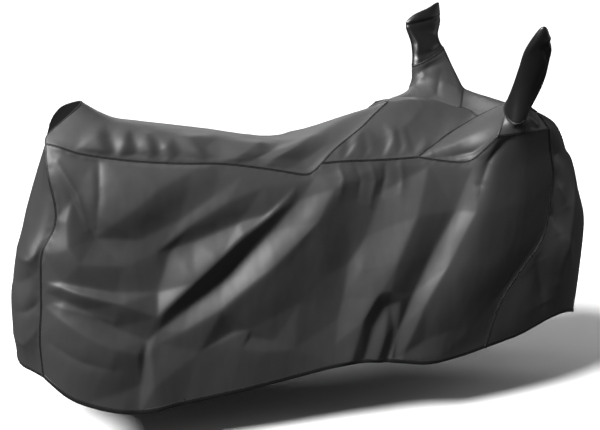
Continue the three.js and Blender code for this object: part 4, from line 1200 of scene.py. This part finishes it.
def coated_cloth(name, colour, lighter, roughness):
    """Woven polyester with a satin coating, in one shade."""
    material = bpy.data.materials.new(name)
    material.use_nodes = True
    tree = material.node_tree
    shader = tree.nodes["Principled BSDF"]
    shader.inputs["IOR"].default_value = 1.5
    shader.inputs["Specular IOR Level"].default_value = 0.4
    shader.inputs["Roughness"].default_value = roughness
    uv = add_node(tree, "ShaderNodeTexCoord").outputs["UV"]
    place = add_node(tree, "ShaderNodeTexCoord").outputs["Object"]
    # The tone drifts a little over a hand's width, as handled cloth does.
    drift = add_node(
        tree, "ShaderNodeTexNoise", inputs={"Scale": 1 / HAND_WIDTH, "Detail": 3}, links={"Vector": place}
    )
    tone = add_node(
        tree, "ShaderNodeMix", settings={"data_type": "RGBA"}, links={"Factor": drift.outputs["Fac"]}
    )
    tone.inputs[6].default_value, tone.inputs[7].default_value = linear(colour), linear(lighter)
    tree.links.new(tone.outputs[2], shader.inputs["Base Color"])
    # The weave: two sets of threads at right angles, raised in turn.
    threads_of = [
        add_node(
            tree, "ShaderNodeTexWave", settings={"wave_type": "BANDS", "bands_direction": way},
            inputs={"Scale": WAVES, "Distortion": 0.4, "Detail": 1}, links={"Vector": uv},
        ).outputs["Fac"]
        for way in "XY"
    ]
    weave = add_node(tree, "ShaderNodeMath", settings={"operation": "MULTIPLY"})
    for socket, output in zip(weave.inputs, threads_of):
        tree.links.new(output, socket)
    # Small creases that stay in stored cloth, 15 to 30 mm across, too fine for the mesh.
    crumple = add_node(
        tree, "ShaderNodeTexNoise", settings={"noise_type": "RIDGED_MULTIFRACTAL"},
        inputs={"Scale": 1 / CREASE_APART, "Detail": 2, "Roughness": 0.45}, links={"Vector": place},
    )
    creased = add_node(
        tree, "ShaderNodeBump", inputs={"Strength": 0.12, "Distance": 0.002},
        links={"Height": crumple.outputs["Fac"]},
    )
    woven = add_node(
        tree, "ShaderNodeBump", inputs={"Strength": 0.12, "Distance": 0.0002},
        links={"Height": weave.outputs[0], "Normal": creased.outputs["Normal"]},
    )
    tree.links.new(woven.outputs["Normal"], shader.inputs["Normal"])
    return material


MATERIALS = {
    # The skirt: nearly black grey, satin.
    "skirt": coated_cloth("satin_coated_polyester_skirt", "#323232", "#393939", 0.46),
    # The top panels: the skirt's cloth with its tone painted a shade paler, as painted light for the light that falls
    # on the top; a higher roughness makes them less glossy.
    "top": coated_cloth("satin_coated_polyester_top_painted_light", "#323232", "#3b3b3c", 0.52),
    # The pockets: the skirt's cloth, coloured near black as painted shade, for the shade on the pockets' faces; a
    # lower roughness makes them glossier.
    "pocket": coated_cloth("glossy_polyester_pocket_painted_shade", "#111112", "#19191a", 0.32),
    # The upper rear face: coloured near black as painted shade, for the deep shade on the tail's upper rear face, and
    # so rough that it shows no sheen.
    "hump": coated_cloth("matt_painted_shade_of_the_tail", "#070707", "#0b0b0b", 0.85),
    # The felled seams: four layers of cloth pressed flat, coloured darker than the panels as painted shade, for the
    # shadow line in and beside each seam.
    "tape": coated_cloth("folded_polyester_seam_painted_shade", "#121213", "#19191a", 0.5),
}
thread_black = bpy.data.materials.new("bonded_polyester_thread")
thread_black.use_nodes = True
tree = thread_black.node_tree
shader = tree.nodes["Principled BSDF"]
shader.inputs["Roughness"].default_value = 0.55
# Twisted filament: lighter and darker spots along each stitch, about 1.6 mm long.
ply = add_node(
    tree, "ShaderNodeTexNoise", inputs={"Scale": 1 / PLY_LONG, "Detail": 1},
    links={"Vector": add_node(tree, "ShaderNodeTexCoord").outputs["Object"]},
)
shade = add_node(tree, "ShaderNodeMix", settings={"data_type": "RGBA"}, links={"Factor": ply.outputs["Fac"]})
shade.inputs[6].default_value, shade.inputs[7].default_value = linear("#2a2a2c"), linear("#4a4a4d")
tree.links.new(shade.outputs[2], shader.inputs["Base Color"])

# Above this height the rear panel takes the painted shade of the tail.
PAINTED_SHADE_ABOVE = 958  # mm above the floor
# The top panels take the paler tone painted as light, and the pockets the near black painted as shade.
FINISH = {
    "seat_panel": "top", "tank_panel": "top", "shoulder_panel_right": "top", "shoulder_panel_left": "top",
    "ear_pocket_right": "pocket", "ear_pocket_left": "pocket",
}
for node, piece in cloth.items():
    piece.data.materials.append(MATERIALS[FINISH.get(node, "skirt")])
# Above the belt the rear panel is coloured near black as painted shade, and its sheen is turned down.
rear = cloth["rear_panel"].data
rear.materials.append(MATERIALS["hump"])
MATERIALS["hump"].node_tree.nodes["Principled BSDF"].inputs["Specular IOR Level"].default_value = 0.08
for face in rear.polygons:
    if to_floor([face.center])[0][2] > PAINTED_SHADE_ABOVE:
        face.material_index = 1
# The seam tapes carry the darker colour that is painted shade.
for tape in tapes:
    tape.data.materials.append(MATERIALS["tape"])
for thread in threads:
    thread.data.materials.append(thread_black)
print("materials:", [m.name for m in MATERIALS.values()] + [thread_black.name])

# %% [markdown]
# The floor is a plain pale studio floor with a wall of the same white far behind it, which glows a
# little because no lamp stands near it. The cover's hem hangs above the floor, so a soft shadow lies
# under it.

# %% Floor
STUDIO_SIZE, WALL_Y, WALL_RISE = 60, 14, 20
bpy.ops.object.select_all(action="DESELECT")
bpy.ops.mesh.primitive_plane_add(size=STUDIO_SIZE, location=(0, 0, FLOOR_Z))
floor = bpy.context.object
floor.name = "studio_floor"
pale = bpy.data.materials.new("matt_white_studio_floor")
pale.use_nodes = True
shader = pale.node_tree.nodes["Principled BSDF"]
shader.inputs["Roughness"].default_value = 0.9
shader.inputs["Specular IOR Level"].default_value = 0.1
grain = add_node(
    pale.node_tree, "ShaderNodeTexNoise", inputs={"Scale": 2.0, "Detail": 2},
    links={"Vector": add_node(pale.node_tree, "ShaderNodeTexCoord").outputs["Object"]},
)
mottled = add_node(
    pale.node_tree, "ShaderNodeMix", settings={"data_type": "RGBA"}, links={"Factor": grain.outputs["Fac"]}
)
mottled.inputs[6].default_value, mottled.inputs[7].default_value = linear("#f4f4f4"), linear("#fafafa")
pale.node_tree.links.new(mottled.outputs[2], shader.inputs["Base Color"])
floor.data.materials.append(pale)
bpy.ops.object.select_all(action="DESELECT")
bpy.ops.mesh.primitive_plane_add(
    size=STUDIO_SIZE, location=(0, WALL_Y, FLOOR_Z + WALL_RISE), rotation=(math.radians(90), 0, 0)
)
wall = bpy.context.object
wall.name = "studio_wall"
lit_wall = pale.copy()
lit_wall.name = "matt_white_lit_wall"
shader = lit_wall.node_tree.nodes["Principled BSDF"]
shader.inputs["Emission Color"].default_value = linear("#ffffff")
shader.inputs["Emission Strength"].default_value = 0.7
wall.data.materials.append(lit_wall)
for stage in (floor, wall):
    # Dark cloth takes on the grey of all around it, so the white stage throws no light back on it.
    stage.visible_diffuse = stage.visible_glossy = False
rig.stage(floor, wall)
print("floor at", FLOOR_Z, "m, wall at", WALL_Y, "m")

# %% [markdown]
# Dark satin cloth is drawn by what it reflects, so the lights are what shapes it: a soft sun from the
# camera's left and above gives the folds their lit and their dark side, a low world light keeps the
# troughs from going flat black, two large soft boxes lay the broad sheen on the top and the nose, and
# a third lights the far side, which the photograph doesn't show.

# %% Lights
def aim(light, target):
    light.rotation_mode = "QUATERNION"
    light.rotation_quaternion = (Vector(target) - light.location).to_track_quat("-Z", "Y")


bpy.ops.object.light_add(type="SUN", location=(-3.4, -1.35, 3.7))
sun = bpy.context.object
sun.name = "soft_sun"
sun.data.energy = 7.4
sun.data.angle = math.radians(20)
aim(sun, (0, 0, 0))
SOFT_BOXES = [
    # name, place, aims at, width, height, watts
    ("top_box", (-0.6, 0.4, 3.2), (0, 0, 0), 3.2, 1.6, 25),
    ("nose_box", (3.4, -1.2, 1.0), (0.9, 0, -0.2), 1.6, 2.2, 12),
    ("far_box", (0.4, 4.2, 2.4), (0, 0, -0.2), 3.0, 1.6, 45),
]
for name, place, target, width, height, watts in SOFT_BOXES:
    bpy.ops.object.light_add(type="AREA", location=place)
    box_light = bpy.context.object
    box_light.name = name
    box_light.data.shape = "RECTANGLE"
    box_light.data.size, box_light.data.size_y = width, height
    box_light.data.energy = watts
    aim(box_light, target)
world = bpy.data.worlds.new("pale_studio")
bpy.context.scene.world = world
world.use_nodes = True
world.node_tree.nodes["Background"].inputs["Color"].default_value = linear("#ffffff")
world.node_tree.nodes["Background"].inputs["Strength"].default_value = 0.09
bpy.context.scene.view_settings.view_transform = "Standard"
print("lights:", 1 + len(SOFT_BOXES))

# %% [markdown]
# Last, each piece says what it is. All of it rides on the one body, each sheet stands for its solid,
# and the sheet's cut size comes from its flat pattern, turned so that its bounding box is smallest.

RESTS_ON = {
    "side_panel_right": ["seat_panel", "tank_panel"], "side_panel_left": ["seat_panel", "tank_panel"],
    "rear_panel": ["seat_panel"], "front_panel": ["tank_panel", "shoulder_panel_right"],
    "seat_panel": ["side_panel_right", "side_panel_left"], "tank_panel": ["seat_panel", "front_panel"],
    "shoulder_panel_right": ["tank_panel"], "shoulder_panel_left": ["tank_panel"],
    "gusset_right": ["shoulder_panel_right"], "gusset_left": ["shoulder_panel_left"],
    "ear_pocket_right": ["gusset_right"], "ear_pocket_left": ["gusset_left"],
}
SLOTS = {"skirt": "coated_cloth", "top": "coated_cloth_top", "pocket": "coated_cloth_dark"}
for node, piece in cloth.items():
    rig.ride(piece, "root")
    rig.replaces(piece, node)
    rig.slot(piece, SLOTS[FINISH.get(node, "skirt")])
    (width, length), area = patterns[node]
    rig.sheet(
        piece, flat=(width, length), held="draped", area=area, rests_on=RESTS_ON[node],
        with_pieces=sewn_to[node],
    )
    print(node, "cut", round(width, 3), "by", round(length, 3), "m, area", round(area, 3), "m2")
for piece in [*tapes, *threads]:
    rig.ride(piece, "root")
    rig.slot(piece, SLOTS["pocket"])

# %% Sizes
with open("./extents.json", "w") as file:
    json.dump([[[float(v) for v in corner] for corner in box] for box in (cad_box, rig.bounds())], file)
print("CAD box", cad_box, "visual box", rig.bounds())
